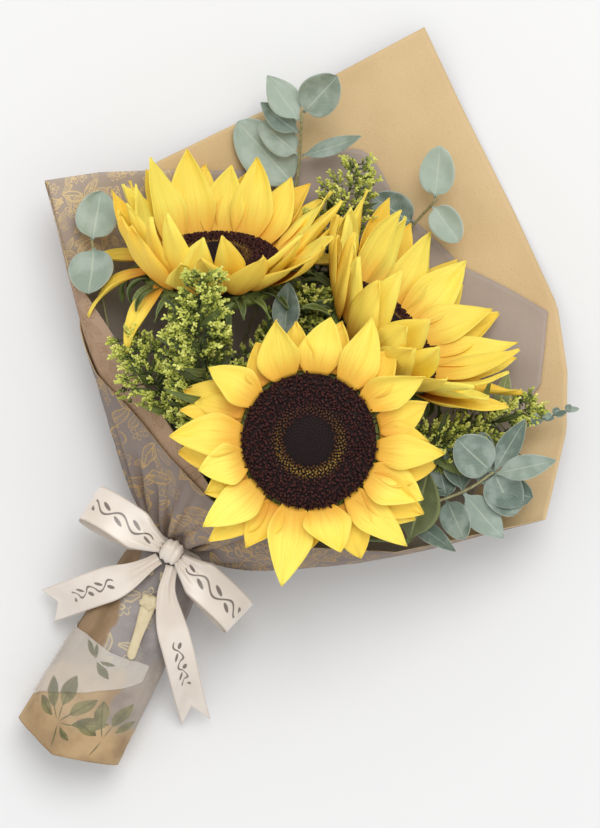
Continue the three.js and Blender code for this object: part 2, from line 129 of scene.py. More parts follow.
def turnedFlat(where, angle):
    return addNode(where.id_data, "VectorRotate", {"Vector": where, "Angle": angle},
                   rotation_type="Z_AXIS").outputs[0]


def lengthOf(vector):
    return addNode(vector.id_data, "VectorMath", {0: vector}, operation="LENGTH").outputs["Value"]


def mixed(factor, first, second):
    values = (factor, first, second)
    return addNode(treeOf(values), "Mix", dict(zip((0, 6, 7), values)), data_type="RGBA").outputs[2]


def fade(value, low, high, fromValue=0.0, toValue=1.0):
    return addNode(value.id_data, "MapRange", {0: value, 1: low, 2: high, 3: fromValue, 4: toValue},
                   interpolation_type="SMOOTHSTEP").outputs[0]


def noisy(where, scale, detail):
    return addNode(where.id_data, "TexNoise", {"Vector": where, "Scale": scale, "Detail": detail})


def grain(where, scale, detail=3.0):
    return noisy(where, scale, detail).outputs[0]


def ramp(factor, stops):
    node = addNode(factor.id_data, "ValToRGB", {0: factor})
    band = node.color_ramp
    while len(band.elements) < len(stops):
        band.elements.new(0.5)
    for element, (place, colour) in zip(band.elements, stops):
        element.position = place
        element.color = colour
    return node.outputs[0]


def bump(shader, height, strength, distance):
    node = addNode(height.id_data, "Bump", {"Height": height, "Strength": strength, "Distance": distance})
    height.id_data.links.new(node.outputs[0], shader.inputs["Normal"])


def objectPlace(tree):
    return addNode(tree, "TexCoord").outputs["Object"]


def surfacePlace(tree):
    return addNode(tree, "UVMap", uv_map="surface").outputs[0]


def toned(tree):
    return addNode(tree, "Attribute", attribute_name="tone").outputs["Fac"]


def split(vector):
    node = addNode(vector.id_data, "SeparateXYZ", {0: vector})
    return node.outputs[0], node.outputs[1]


def paint(shader, colour):
    colour.id_data.links.new(colour, shader.inputs["Base Color"])


# mesh helpers

def startMesh():
    bm = bmesh.new()
    bm.loops.layers.uv.new("surface")
    bm.verts.layers.float.new("tone")
    return bm


def addGrid(bm, columns, rows, place, uvAt=None, tone=0.0, closed=False):
    # a sheet of faces: place(u, v) gives each corner, in millimetres from the tie
    uv = bm.loops.layers.uv["surface"]
    tones = bm.verts.layers.float["tone"]
    verts = bmesh.ops.create_grid(bm, x_segments=columns, y_segments=rows, size=0.5)["verts"]
    for face in {face for vert in verts for face in vert.link_faces}:
        face.smooth = True
        for loop in face.loops:
            u, v = loop.vert.co.x + 0.5, loop.vert.co.y + 0.5
            loop[uv].uv = uvAt(u, v) if uvAt else (u, v)
    for vert in verts:
        vert[tones] = tone
        vert.co = placed(place(vert.co.x + 0.5, vert.co.y + 0.5))
    if closed:
        bmesh.ops.remove_doubles(bm, verts=verts, dist=1e-6)


def addTube(bm, path, radii, sides=8, tone=0.0):
    # a round stem along a path, closed to a point at both ends
    rings, side = [], None
    for k, centre in enumerate(path):
        ahead = (path[min(k + 1, len(path) - 1)] - path[max(k - 1, 0)]).normalized()
        side = upward.cross(ahead) if side is None else side
        if side.length < 0.01:
            side = Vector((1, 0, 0))
        side = (side - ahead * side.dot(ahead)).normalized()
        rings.append((centre, radii[k], side, ahead.cross(side)))
    rings = [(*rings[0][:1], 0.0, *rings[0][2:])] + rings + [(*rings[-1][:1], 0.0, *rings[-1][2:])]
    last = len(rings) - 1

    def place(u, v):
        centre, radius, side, over = rings[round(v * last)]
        turn = 2 * math.pi * u
        return centre + (side * math.cos(turn) + over * math.sin(turn)) * radius

    addGrid(bm, sides, last, place, None, tone, closed=True)


def curveThrough(knots, perSpan=8):
    # a smooth centripetal curve through the knots
    knots = [knots[0] * 2 - knots[1]] + list(knots) + [knots[-1] * 2 - knots[-2]]
    path = []
    for a, b, c, d in zip(knots, knots[1:], knots[2:], knots[3:]):
        t1 = (b - a).length ** 0.5
        t2 = t1 + (c - b).length ** 0.5
        t3 = t2 + (d - c).length ** 0.5
        for k in range(perSpan):
            t = lerp(t1, t2, k / perSpan)
            ab = a.lerp(b, t / t1)
            bc = b.lerp(c, (t - t1) / (t2 - t1))
            cd = c.lerp(d, (t - t2) / (t3 - t2))
            first = ab.lerp(bc, t / t2)
            second = bc.lerp(cd, (t - t1) / (t3 - t1))
            path.append(first.lerp(second, (t - t1) / (t2 - t1)))
    return path + [knots[-2].copy()]


def evenPath(path, count):
    # the same path in equal steps
    lengths = [0.0]
    for a, b in zip(path, path[1:]):
        lengths.append(lengths[-1] + (b - a).length)
    points, k = [], 0
    for i in range(count + 1):
        want = lengths[-1] * i / count
        while k < len(path) - 2 and lengths[k + 1] < want:
            k += 1
        span = lengths[k + 1] - lengths[k]
        points.append(path[k].lerp(path[k + 1], min(1.0, (want - lengths[k]) / span)))
    return points


def finishMesh(name, bm):
    mesh = bpy.data.meshes.new(name)
    bm.to_mesh(mesh)
    bm.free()
    return mesh


def addObject(name, data):
    made = bpy.data.objects.new(name, data)
    bpy.context.scene.collection.objects.link(made)
    return made


def addPiece(name, bm, looks, slotName, *nodes, thickness=0.0, twoSided=False):
    mesh = finishMesh(name, bm)
    piece = addObject(name, mesh)
    for look in looks:
        mesh.materials.append(look)
    if thickness:
        wall = piece.modifiers.new("wall", "SOLIDIFY")
        wall.thickness = thickness * mm
        wall.offset = -1
        wall.material_offset = 1 if twoSided else 0
    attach(piece, "root")
    if nodes:
        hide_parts(*nodes)
    return piece


# camera, floor and lights

studio = {
    "lookAt": (23.7, 102.3, 40),    # the middle of the view
    "distance": 1900,
    "turn": 30,                     # the way the bunch leans in the view
    "fieldHeight": 463.7,           # what the view takes in from top to bottom, at lookAt
    "floorSize": 8.0,
    "floorTint": (0.81, 0.81, 0.81),
    "skyStrength": 0.80,
    "lampPower": 60,
    "lampSize": 2.2,
    "lampFrom": (0.45, 1.5, 3.4),   # in the view: left, up, towards the camera, in metres
}


def setTheStage():
    scene = bpy.context.scene
    scene.view_settings.view_transform = "Standard"
    lookAt = placed(Vector(studio["lookAt"]))
    turn = Matrix.Rotation(math.radians(studio["turn"]), 4, "Z")
    lens = bpy.data.cameras.new("camera")
    lens.sensor_width = 36
    lens.lens = lens.sensor_width * studio["distance"] / studio["fieldHeight"]
    camera = addObject("camera", lens)
    camera.matrix_world = Matrix.Translation(lookAt + upward * studio["distance"] * mm) @ turn
    scene.camera = camera

    ground = bmesh.new()
    bmesh.ops.create_grid(ground, x_segments=1, y_segments=1, size=studio["floorSize"] / 2)
    bmesh.ops.translate(ground, verts=ground.verts, vec=(0, 0, -0.0003))
    floor = addObject("floor", finishMesh("floor", ground))
    surface, _, shader = startLook("paleFloor", 0.9)
    shader.inputs["Base Color"].default_value = (*studio["floorTint"], 1)
    floor.data.materials.append(surface)

    world = bpy.data.worlds.new("studio")
    world.use_nodes = True
    sky = world.node_tree.nodes["Background"]
    sky.inputs[0].default_value = (1, 1, 1, 1)
    sky.inputs[1].default_value = studio["skyStrength"]
    scene.world = world
    lamp = bpy.data.lights.new("softbox", "AREA")
    lamp.shape = "DISK"
    lamp.size = studio["lampSize"]
    lamp.energy = studio["lampPower"]
    softbox = addObject("softbox", lamp)
    where = lookAt + turn.to_3x3() @ Vector(studio["lampFrom"])
    facing = (lookAt - where).to_track_quat("-Z", "Y").to_matrix().to_4x4()
    softbox.matrix_world = Matrix.Translation(where) @ facing


setTheStage()
print("stage set")


# the paper's looks

def lineFlorals(where, cell, line):
    # outlined leaves and flowers, one to each cell of the paper, turned at random
    scaled = moved("MULTIPLY", where, (1000 / cell, 1000 / cell, 0))
    bent = moved("ADD", scaled, moved("MULTIPLY", grainVector(scaled, 1.4), (0.35, 0.35, 0)))
    cells = addNode(where.id_data, "TexVoronoi", {"Vector": bent, "Scale": 1.0, "Randomness": 0.75},
                    voronoi_dimensions="2D")
    local = moved("SUBTRACT", bent, cells.outputs["Position"])
    hue, other = split(cells.outputs["Color"])
    turned = turnedFlat(local, times(hue, 6.28))
    x, y = split(turned)
    side = calc("ABSOLUTE", y)
    half = minus(0.19, times(times(x, x), 0.75))
    edge = calc("ABSOLUTE", minus(side, half))
    width = line / cell
    outline = fade(edge, width * 0.5, width * 1.3, 1.0, 0.0)
    inside = fade(minus(half, side), 0.0, width)
    slant = minus(x, times(side, 1.1))
    vein = calc("ABSOLUTE", calc("SINE", times(slant, 38.0)))
    veins = times(inside, fade(vein, 0.12, 0.42, 1.0, 0.0))
    middle = times(inside, fade(side, width * 0.3, width * 0.9, 1.0, 0.0))
    leaf = calc("MAXIMUM", outline, calc("MAXIMUM", times(veins, 0.75), middle))
    angle = calc("ARCTAN2", y, x)
    far = lengthOf(turned)
    lobes = calc("ABSOLUTE", calc("COSINE", times(angle, 2.5)))
    bloom = plus(0.16, times(lobes, 0.2))
    rim = calc("ABSOLUTE", minus(far, bloom))
    heart = calc("ABSOLUTE", minus(far, 0.08))
    flower = fade(calc("MINIMUM", rim, heart), width * 0.5, width * 1.3, 1.0, 0.0)
    isFlower = calc("GREATER_THAN", other, 0.62)
    return mixed(isFlower, leaf, flower)


def grainVector(where, scale):
    return moved("SUBTRACT", noisy(where, scale, 1.0).outputs["Color"], (0.5, 0.5, 0.5))


def paperLook(name, base, shade, ink=None, cell=42.0, line=0.75, strength=0.85, fibre=0.5,
              within=None, fold=None):
    look, tree, shader = startLook(name, 0.82)
    where = surfacePlace(tree)
    clouds = grain(where, 14.0, 4.0)
    colour = mixed(fade(clouds, 0.35, 0.7), tint(base), tint(shade))
    flecks = grain(moved("MULTIPLY", where, (1.0, 3.2, 1.0)), 620.0, 2.0)
    colour = mixed(fade(flecks, 0.56, 0.74, 0.0, 0.22 * fibre), colour, tint("6e5233"))
    if ink:
        small = lineFlorals(moved("ADD", where, (0.37, 0.11, 0)), cell * 0.55, line * 0.8)
        mask = calc("MAXIMUM", lineFlorals(where, cell, line), small)
        worn = fade(grain(where, 60.0, 2.0), 0.3, 0.55, 0.45, 1.0)
        if within:      # the print fades out to the right of this line
            sideways = split(objectPlace(tree))[0]
            worn = times(worn, fade(sideways, *within, 1.0, 0.0))
        colour = mixed(times(times(mask, worn), strength), colour, tint(ink))
    if fold:        # painted shade in the creases that run out from the tie
        reach = lengthOf(where)
        across, along = split(where)
        turn = calc("ARCTAN2", along, across)
        rays = addNode(tree, "CombineXYZ", {0: times(turn, 9.0), 1: times(reach, 14.0)})
        creaseShade = fade(grain(rays.outputs[0], 1.0, 2.0), 0.5, 0.66)
        colour = mixed(times(creaseShade, fade(reach, 0.015, 0.085, 0.7, 0.0)), colour, tint(fold))
    paint(shader, colour)
    fine = grain(where, 900.0, 3.0)
    soft = grain(where, 55.0, 3.0)
    bump(shader, plus(fine, times(soft, 2.0)), 0.22, 0.0008)
    return look


kraftInside = paperLook("kraftPlain", "d8bc8f", "ceb183", fibre=1.0)
kraftOutside = paperLook("kraftPrinted", "8e8179", "80746d", "bf9c62", cell=20, line=0.42, fold="6d5138")
liningInside = paperLook("liningPrinted", "b0a094", "a39487", "dfc592", cell=13.5, line=0.4, strength=1.0,
                         within=(tie.x - 0.118, tie.x - 0.098))
liningOutside = paperLook("liningBand", "b0937a", "a48668", "8a6544", cell=19, line=0.4, strength=0.55)


# the two sheets of paper

# Each way runs from the tie to the paper's rim: angle round the neck (0 right, 90 front, 270 table),
# far point, how much of it the kraft and the lining cover, and how far it bellies out.
paperWays = [
    (65, 37, 36, 78, 1, 0, 5), (92, 4, 40, 77, 0.93, 1, 5), (112, -31, 58, 73, 0.8, 1, 4),
    (132, -71, 78, 66, 0.71, 1, 3), (152, -130, 108, 57, 0.6, 1, 2), (172, -166, 143, 46, 0.62, 1, 2),
    (184, -143, 163, 31, 0.76, 1, 1), (196, -119, 184, 18, 1, 0.98, 1), (207, -96, 219, 11, 1, 0.9, 0.5),
    (218, -72, 254, 6, 1, 0.84, 0), (240, -25, 328, 15, 1, 0.76, 0), (262, 21, 297, 5, 1, 0.78, 0),
    (284, 73, 263, 2, 1, 0.84, 0), (304, 120, 229, 9, 1, 0.975, 0), (322, 143, 199, 18, 1, 0.93, 1),
    (340, 158, 170, 29, 1, 0.8, 3), (362, 171, 120, 54, 1, 0.7, 7), (382, 127, 80, 70, 1, 0.66, 9),
    (396, 107, 63, 74, 1, 0.62, 8), (410, 59, 38, 76, 1, 0, 6), (430, 31, 36.8, 78.5, 1, 0, 5),
]
papers = {
    "neckRadius": 19.6, "neckTop": 5, "neckBottom": -12, "straight": 0.06,
    "thickness": 0.35, "gather": 3.0, "gathers": 2.6, "overlap": 1.8, "crumple": 1.6, "crinkle": 0.4,
    "columns": 170, "rows": 84,
}


def wayAt(place, column, roundness):
    low = min(int(place), len(paperWays) - 2)
    t = place - low
    a, b = paperWays[low][column], paperWays[low + 1][column]
    before = paperWays[max(low - 1, 0)][column]
    after = paperWays[min(low + 2, len(paperWays) - 1)][column]
    # Catmull-Rom between the two ways
    cubic = 3 * (a - b) + after - before
    square = 2 * before - 5 * a + 4 * b - after
    bent = a + 0.5 * t * (b - before + t * (square + t * cubic))
    return lerp(lerp(a, b, t), bent, roundness)


def paperSurface(place, v):
    roundness = 1 - ease(0.5, 1.0, v)
    turn, x, y, z = (wayAt(place, column, roundness) for column in range(4))
    belly = wayAt(place, 6, 0)
    angle = math.radians(turn)
    out = Vector((math.cos(angle), 0, math.sin(angle)))
    start = out * papers["neckRadius"] + Vector((0, papers["neckTop"], neckHeight))
    if v < 0:
        return Vector((start.x, lerp(papers["neckTop"], papers["neckBottom"], -v), start.z))
    way = Vector((x, y, z)) - start
    along = way.normalized()
    swell = (out - along * out.dot(along)).normalized()
    here = start + way * v
    flat = start.z * (1 - v) ** 4 + z * v ** 4 - min(1.5, 12 * v)
    here.z = lerp(here.z, max(0.0, flat), ease(0.3, 0.7, -math.sin(angle)))
    return here + swell * belly * 4 * v * (1 - v)


def paperPoint(place, v, depth):
    # depth runs inwards from the kraft's outer side
    here = paperSurface(place, v)
    last = len(paperWays) - 1
    along = paperSurface(min(place + 0.02, last), v) - paperSurface(max(place - 0.02, 0), v)
    onward = paperSurface(place, v + 0.01) - paperSurface(place, v - 0.01)
    inward = along.cross(onward).normalized()
    gather = papers["gather"] * math.sin(place * papers["gathers"] * math.pi + 2 * wave(place, 3.1))
    gather *= ease(0.0, 0.12, v) * (1 - ease(0.18, 0.55, v))
    crumple = papers["crumple"] * wave(place * 0.8, v * 2.6, 5.0) * ease(0.15, 0.5, v)
    crinkle = papers["crinkle"] * wave(place * 3.7, v * 13, 9.0) * ease(0.05, 0.3, v)
    # the last edge tucks under the first
    under = papers["overlap"] * ease(last - 0.7, last - 0.2, place)
    here += inward * (depth + under + gather + crumple + crinkle)
    return Vector((here.x, here.y, max(here.z, 0.2 + depth * 0.9)))


def flattened(place, v):
    # the same spot on the sheet laid out flat, for its print
    low = min(int(place), len(paperWays) - 2)
    angle = lerp(flatAngles[low], flatAngles[low + 1], place - low)
    reach = (paperSurface(place, max(v, 0)) - Vector((0, 0, neckHeight))).length * mm
    return (reach * math.cos(angle), reach * math.sin(angle))


flatAngles = [0.0]
for one, two in zip(paperWays, paperWays[1:]):
    a, b = (Vector(way[1:4]) - Vector((0, 0, neckHeight)) for way in (one, two))
    flatAngles.append(flatAngles[-1] + a.angle(b))


def addPaper(name, node, first, last, depth, share, looks):
    straight = papers["straight"]

    def spot(u, v):
        place = lerp(first, last, u)
        reach = wayAt(place, share, 0)
        return place, (v / straight - 1 if v < straight else (v - straight) / (1 - straight) * reach)

    bm = startMesh()
    addGrid(bm, papers["columns"], papers["rows"],
            lambda u, v: paperPoint(*spot(u, v), depth), lambda u, v: flattened(*spot(u, v)))
    return addPiece(name, bm, looks, node.replace("sheet", "paper"), node,
                    thickness=papers["thickness"], twoSided=True)


addPaper("kraft_paper", "kraft_sheet", 0, len(paperWays) - 1, 0.5, 4, [kraftInside, kraftOutside])
addPaper("lining_paper", "lining_sheet", 1, len(paperWays) - 3, 2.3, 5, [liningInside, liningOutside])
print("paper folded")


# the sleeve round the stem ends, and the vellum over it

sleeve = {
    "top": -5.8, "length": 127, "width": 62, "wall": 0.35, "start": -80, "turn": 372, "spiral": 1.4,
    "columns": 150, "rows": 90, "crumple": 1.1, "crinkle": 0.5,
    "cornerAt": 0.13, "pleat": 1.6,
    "vellumFrom": 46, "vellumTo": 214, "vellumTop": 0.48, "vellumLowRight": 0.56, "vellumLowLeft": 0.86,
}


def sleevePoint(turn, v, proud=0.0):
    angle = math.radians(turn)
    share = (turn - sleeve["start"]) / sleeve["turn"]
    opening = v ** 0.55
    snug = papers["neckRadius"] + 1.1
    half = lerp(snug, sleeve["width"] / 2 - 0.5, opening) + share * sleeve["spiral"] + proud
    deep = snug + share * sleeve["spiral"] + proud
    creased = sleeve["crumple"] * wave(turn * 0.035, v * 4, 2.0)
    creased += sleeve["crinkle"] * wave(turn * 0.12, v * 11, 7.0)
    creased *= ease(0.02, 0.3, v)
    pleated = (0.5 + 0.5 * math.sin(turn * 0.19 + 2 * v)) * ease(0.0, 0.1, v) * (1 - ease(0.3, 0.6, v))
    creased += sleeve["pleat"] * pleated
    half -= max(0.0, creased)
    deep -= max(0.0, creased)
    # its cut edge is two straight runs that meet in a corner
    corner = math.cos(angle) + sleeve["cornerAt"]
    low = -sleeve["length"] - 5 + (7.5 * -corner if corner < 0 else 10 * corner)
    return Vector((3 * opening + half * math.cos(angle), lerp(sleeve["top"], low, v),
                   neckHeight + deep * math.sin(angle)))


def sleeveUv(turn, v):
    return ((90 - turn) * 26 * math.pi / 180 * mm, -sleeve["length"] * v * mm)


def leafMask(x, y, length, width, soft):
    # one pointed leaf from the origin along x
    t = calc("DIVIDE", x, length)
    profile = times(times(t, minus(1.0, t)), 2 * width)
    return fade(minus(profile, calc("ABSOLUTE", y)), 0.0, soft)


def leafSpray(where, centre, leaves):
    # printed leaves round a centre: each is (direction, start, length, width)
    masks, veins = None, None
    local = moved("SUBTRACT", where, (centre[0] * mm, centre[1] * mm, 0))
    for direction, start, length, width in leaves:
        turned = turnedFlat(local, -math.radians(direction))
        x, y = split(turned)
        bent = plus(y, times(times(x, x), 6.0))
        x = minus(x, start * mm)
        mask = leafMask(x, bent, length * mm, width * mm, 0.0006)
        vein = times(mask, fade(calc("ABSOLUTE", bent), 0.0002, 0.0005, 1.0, 0.0))
        masks = mask if masks is None else calc("MAXIMUM", masks, mask)
        veins = vein if veins is None else calc("MAXIMUM", veins, vein)
    return masks, veins


printedSprays = [
    ((-9, -111), [(172, 4, 15, 7), (140, 7, 18, 9), (106, 9, 19, 9), (70, 8, 17, 8), (30, 7, 18, 9),
                  (140, 0, 12, 1.2), (106, 0, 12, 1.2), (70, 0, 12, 1.2), (30, 0, 12, 1.2),
                  (-72, 0, 15, 1.4), (-30, 2, 9, 4)]),
    ((15, -112), [(160, 4, 14, 7), (120, 8, 17, 8), (84, 9, 18, 9), (52, 7, 15, 7), (120, 0, 12, 1.2),
                  (84, 0, 12, 1.2), (-100, 0, 13, 1.3)]),
    ((-8, -69), [(150, 1, 11, 4), (118, 0, 9, 3), (-28, 1, 12, 5), (14, 2, 9, 3)]),
]


def sleeveLook():
    look, tree, shader = startLook("sleevePrinted", 0.72)
    where = surfacePlace(tree)
    across, along = split(where)
    clouds = grain(where, 45.0, 4.0)
    kraft = mixed(fade(clouds, 0.35, 0.68), tint("b89b72"), tint("967a58"))
    mauve = mixed(fade(clouds, 0.4, 0.65), tint("98908d"), tint("7f7774"))
    # the folds' colour is kraft, with lengthwise darker streaks of painted shade
    foldShadeStreaks = grain(moved("MULTIPLY", where, (1.0, 0.6, 1.0)), 70.0, 3.0)
    foldKraftAndShade = mixed(fade(foldShadeStreaks, 0.3, 0.72), tint("94785a"), tint("77603f"))
    drift = times(minus(grain(where, 34.0), 0.5), 0.022)
    slant = plus(plus(across, drift), times(along, 0.16))
    gold = lineFlorals(where, 15, 0.5)
    patterned = mixed(times(gold, 0.85), mauve, tint("cdbb92"))
    # kraft-coloured folds down the left, patterned paper in the middle, plain paper and kraft-coloured
    # folds to the right
    folds = mixed(fade(slant, -0.021, -0.018), foldKraftAndShade, patterned)
    folds = mixed(fade(slant, 0.0035, 0.006), folds, mauve)
    upper = fade(plus(along, drift), -0.066, -0.058)
    folds = mixed(times(fade(slant, 0.016, 0.019), upper), folds, foldKraftAndShade)
    edge = plus(plus(along, drift), times(across, -0.5))
    colour = mixed(fade(edge, -0.074, -0.070), kraft, folds)
    low = times(fade(along, -0.104, -0.1), fade(plus(across, drift), 0.008, 0.011))
    colour = mixed(times(low, 0.8), colour, mauve)
    green = mixed(fade(grain(where, 120.0), 0.35, 0.65), tint("54532f"), tint("7b764a"))
    for centre, leaves in printedSprays:
        mask, vein = leafSpray(where, centre, leaves)
        colour = mixed(times(mask, 0.9), colour, green)
        colour = mixed(times(vein, 0.6), colour, tint("4a4a2e"))
    veiled = times(fade(along, -0.112, -0.104), fade(edge, -0.064, -0.07))
    colour = mixed(times(veiled, 0.12), colour, tint("d8cdbd"))
    paint(shader, colour)
    bump(shader, grain(where, 700.0, 3.0), 0.2, 0.0006)
    return look


def vellumLook():
    look, tree, shader = startLook("vellum", 0.4, Alpha=0.3)
    where = surfacePlace(tree)
    colour = mixed(grain(where, 60.0), tint("f6f1ea"), tint("e6ddd1"))
    for centre, leaves in printedSprays:
        mask = leafSpray(where, centre, leaves)[0]
        colour = mixed(times(mask, 0.7), colour, tint("6f7350"))
    paint(shader, colour)
    bump(shader, grain(where, 90.0, 2.0), 0.15, 0.001)
    return look


def addSleeve():
    bm = startMesh()
    first, turn = sleeve["start"], sleeve["turn"]
    addGrid(bm, sleeve["columns"], sleeve["rows"], lambda u, v: sleevePoint(first + u * turn, v),
            lambda u, v: sleeveUv(first + u * turn, v))
    addPiece("sleeve_paper_roll", bm, [sleeveLook()], "sleeve_paper", "handle_sleeve",
             thickness=sleeve["wall"])

    bm = startMesh()

    def spot(u, v):
        low = lerp(sleeve["vellumLowRight"], sleeve["vellumLowLeft"], min(1, u / 0.7))
        low += 0.015 * wave(u * 5, 1.0)
        top = sleeve["vellumTop"] + 0.02 * wave(u * 4, 8.0)
        return lerp(sleeve["vellumFrom"], sleeve["vellumTo"], u), lerp(top, low, v)

    addGrid(bm, 70, 24, lambda u, v: sleevePoint(*spot(u, v), 0.9), lambda u, v: sleeveUv(*spot(u, v)))
    addPiece("vellum_flap", bm, [vellumLook()], "vellum", "vellum_wrap", thickness=0.18)


def addPleat():
    # a strip of the sleeve's pale side, turned over and pinched into a knob at the top
    strip = {"top": (3.4, -31), "low": (9.8, -64), "width": (8.4, 5.2), "knob": 11}
    bm = startMesh()

    def place(u, v):
        x, y = (lerp(a, b, v) for a, b in zip(strip["top"], strip["low"]))
        turn = math.degrees(math.acos(max(-1, min(1, (x - 2) / 30))))
        across = (u - 0.5) * lerp(*strip["width"], ease(0, 0.7, v))
        across *= math.sqrt(max(0.02, 1 - (max(0, v - 0.9) / 0.105) ** 2))
        height = sleevePoint(turn, -y / sleeve["length"]).z + 0.9 + 0.9 * math.cos(math.pi * (u - 0.5))
        return Vector((x + across, y, height))

    addGrid(bm, 8, 30, place, lambda u, v: ((u - 0.5) * 0.006, -v * 0.036))
    knob = bmesh.ops.create_uvsphere(bm, u_segments=16, v_segments=10,
                                     radius=strip["knob"] / 2 * mm)["verts"]
    for vert in knob:
        pinch = 1 + 0.16 * math.cos(5 * math.atan2(vert.co.y, vert.co.x)) + 0.3 * wave(*vert.co * 400)
        vert.co = Vector((vert.co.x * pinch, vert.co.y * 0.8 * pinch, vert.co.z * 0.42 * pinch))
        vert.co += placed(Vector((*strip["top"], neckHeight + 22.5)))
    for face in bm.faces:
        face.smooth = True
    look, tree, shader = startLook("sleeveLiningPaper", 0.7)
    paint(shader, mixed(grain(objectPlace(tree), 220.0), tint("e2d3b0"), tint("c6b58f")))
    addPiece("sleeve_pleat", bm, [look], "sleeve_paper", thickness=0.25)


addSleeve()
addPleat()
print("sleeve rolled")


# ribbon: band, knot, loops and tails

ribbon = {
    "width": 22, "thickness": 0.3, "loopLength": 46, "loopHeight": 18, "knot": 13,
    "bandRadius": 20.2, "bandWidth": 10, "loopCut": 108,
}
knotLow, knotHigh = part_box("ribbon_knot")
knotHeight = (knotLow.z + knotHigh.z) / 2 / mm


def ribbonLook():
    look, tree, shader = startLook("satinRibbon", 0.3, Sheen_Weight=0.4, Specular_IOR_Level=0.8)
    where = surfacePlace(tree)
    across, along = split(where)
    threads = calc("SINE", times(across, 9000.0))
    # the cloudy light and dark patches are partly painted sheen on the satin
    clouds = grain(where, 35.0, 2.0)
    colour = mixed(fade(clouds, 0.35, 0.65), tint("e8ddd1"), tint("dccfc1"))
    selvedge = fade(calc("ABSOLUTE", across), 0.0098, 0.0105)
    colour = mixed(times(selvedge, 0.35), colour, tint("b8a795"))
    # a wavy stem with small leaves along it, once on each length of ribbon
    wavy = times(calc("SINE", times(along, 420.0)), 0.0026)
    stem = fade(calc("ABSOLUTE", minus(across, wavy)), 0.0004, 0.0009, 1.0, 0.0)
    beat = minus(calc("MODULO", along, 0.0075), 0.00375)
    flip = calc("SIGN", calc("SINE", times(along, 418.9)))
    lifted = minus(across, times(flip, -0.0021))
    slant = plus(lifted, times(beat, 0.5))
    leaf = plus(calc("POWER", calc("DIVIDE", beat, 0.0026), 2.0),
                calc("POWER", calc("DIVIDE", slant, 0.0013), 2.0))
    leaves = fade(leaf, 0.6, 1.1, 1.0, 0.0)
    window = times(fade(along, 0.008, 0.009), fade(along, 0.041, 0.042, 1.0, 0.0))
    mark = times(calc("MAXIMUM", stem, leaves), window)
    colour = mixed(times(mark, 0.85), colour, tint("4b3527"))
    paint(shader, colour)
    bump(shader, threads, 0.08, 0.0002)
    return look


satin = ribbonLook()


def loopPoint(turn, drop, roll, u, v):
    away = Vector((math.cos(math.radians(turn)), math.sin(math.radians(turn)), 0))
    side = Vector((-away.y, away.x, 0))
    bend = 2 * math.pi * u
    opening = (1 - math.cos(bend)) / 2
    rise = math.sin(bend) * ribbon["loopHeight"] / 2 + math.cos(bend / 2) * 1.4 - drop * opening
    width = ribbon["width"] * lerp(0.36, 1, min(1, opening * 3))
    across = v - 0.5
    pinch = (1 - ease(0.0, 0.45, opening)) * 1.3 * math.cos(across * 3 * math.pi * 2)
    curl = 1.2 * (across * 2) ** 2 * opening
    start = ribbon["knot"] / 2 - 0.6
    lean = math.radians(roll) * opening
    high = rise + pinch + curl * (1 if u < 0.5 else -1)
    return (Vector((0, 0, knotHeight + high * math.cos(lean) + across * width * math.sin(lean)))
            + away * (start + (ribbon["loopLength"] + 1.5) * opening)
            + side * (across * width * math.cos(lean) - high * math.sin(lean)))


def addLoop(name, turn, drop, roll):
    bm = startMesh()
    length = ribbon["loopCut"] * mm
    addGrid(bm, 84, 20, lambda u, v: loopPoint(turn, drop, roll, u, v),
            lambda u, v: ((v - 0.5) * ribbon["width"] * mm, u * length - 0.004))
    piece = addPiece("bow_" + name, bm, [satin], "ribbon", "ribbon_" + name, thickness=ribbon["thickness"])


def addTail(name, knots, lastTurn, endWidth, printFrom):
    steps = 90
    path = evenPath(curveThrough([Vector(knot) for knot in knots], 16), steps)

    def at(share):
        k = min(share * steps, steps - 0.001)
        before, after = path[int(k)], path[int(k) + 1]
        return before.lerp(after, k - int(k)), (after - before).normalized()

    def place(u, v):
        notch = 1 - 0.13 * (1 - abs(2 * u - 1)) * v
        here, ahead = at(v * notch)
        flat = Vector((-ahead.y, ahead.x, 0)).normalized()
        angle = math.radians(lastTurn * v)
        side = flat * math.cos(angle) + upward * math.sin(angle)
        width = lerp(ribbon["width"] * 0.32, endWidth, ease(0, 0.4, v))
        fold = (1 - ease(0.05, 0.45, v)) * 0.9 * math.cos((u - 0.5) * 4 * math.pi)
        swell = 0.7 * math.sin(v * 9) * (u - 0.5)
        return here + side * (u - 0.5) * width + upward * (fold + swell)

    length = sum((b - a).length for a, b in zip(path, path[1:])) * mm
    bm = startMesh()
    addGrid(bm, 20, steps, place,
            lambda u, v: ((u - 0.5) * ribbon["width"] * mm, v * length - printFrom * mm))
    piece = addPiece("bow_" + name, bm, [satin], "ribbon", "ribbon_" + name, thickness=ribbon["thickness"])


def addBand():
    bm = startMesh()

    def place(u, v):
        angle = 2 * math.pi * u
        radius = ribbon["bandRadius"] + 0.25 * math.cos(v * 4 * math.pi) + 0.15 * wave(u * 9, v * 2)
        return Vector((radius * math.cos(angle), (v - 0.5) * ribbon["bandWidth"],
                       neckHeight + radius * math.sin(angle)))

    addGrid(bm, 96, 10, place, lambda u, v: ((v - 0.5) * 0.03, u * 0.002), closed=True)
    bmesh.ops.recalc_face_normals(bm, faces=bm.faces)
    piece = addPiece("bow_band", bm, [satin], "ribbon", "ribbon_band", thickness=ribbon["thickness"])


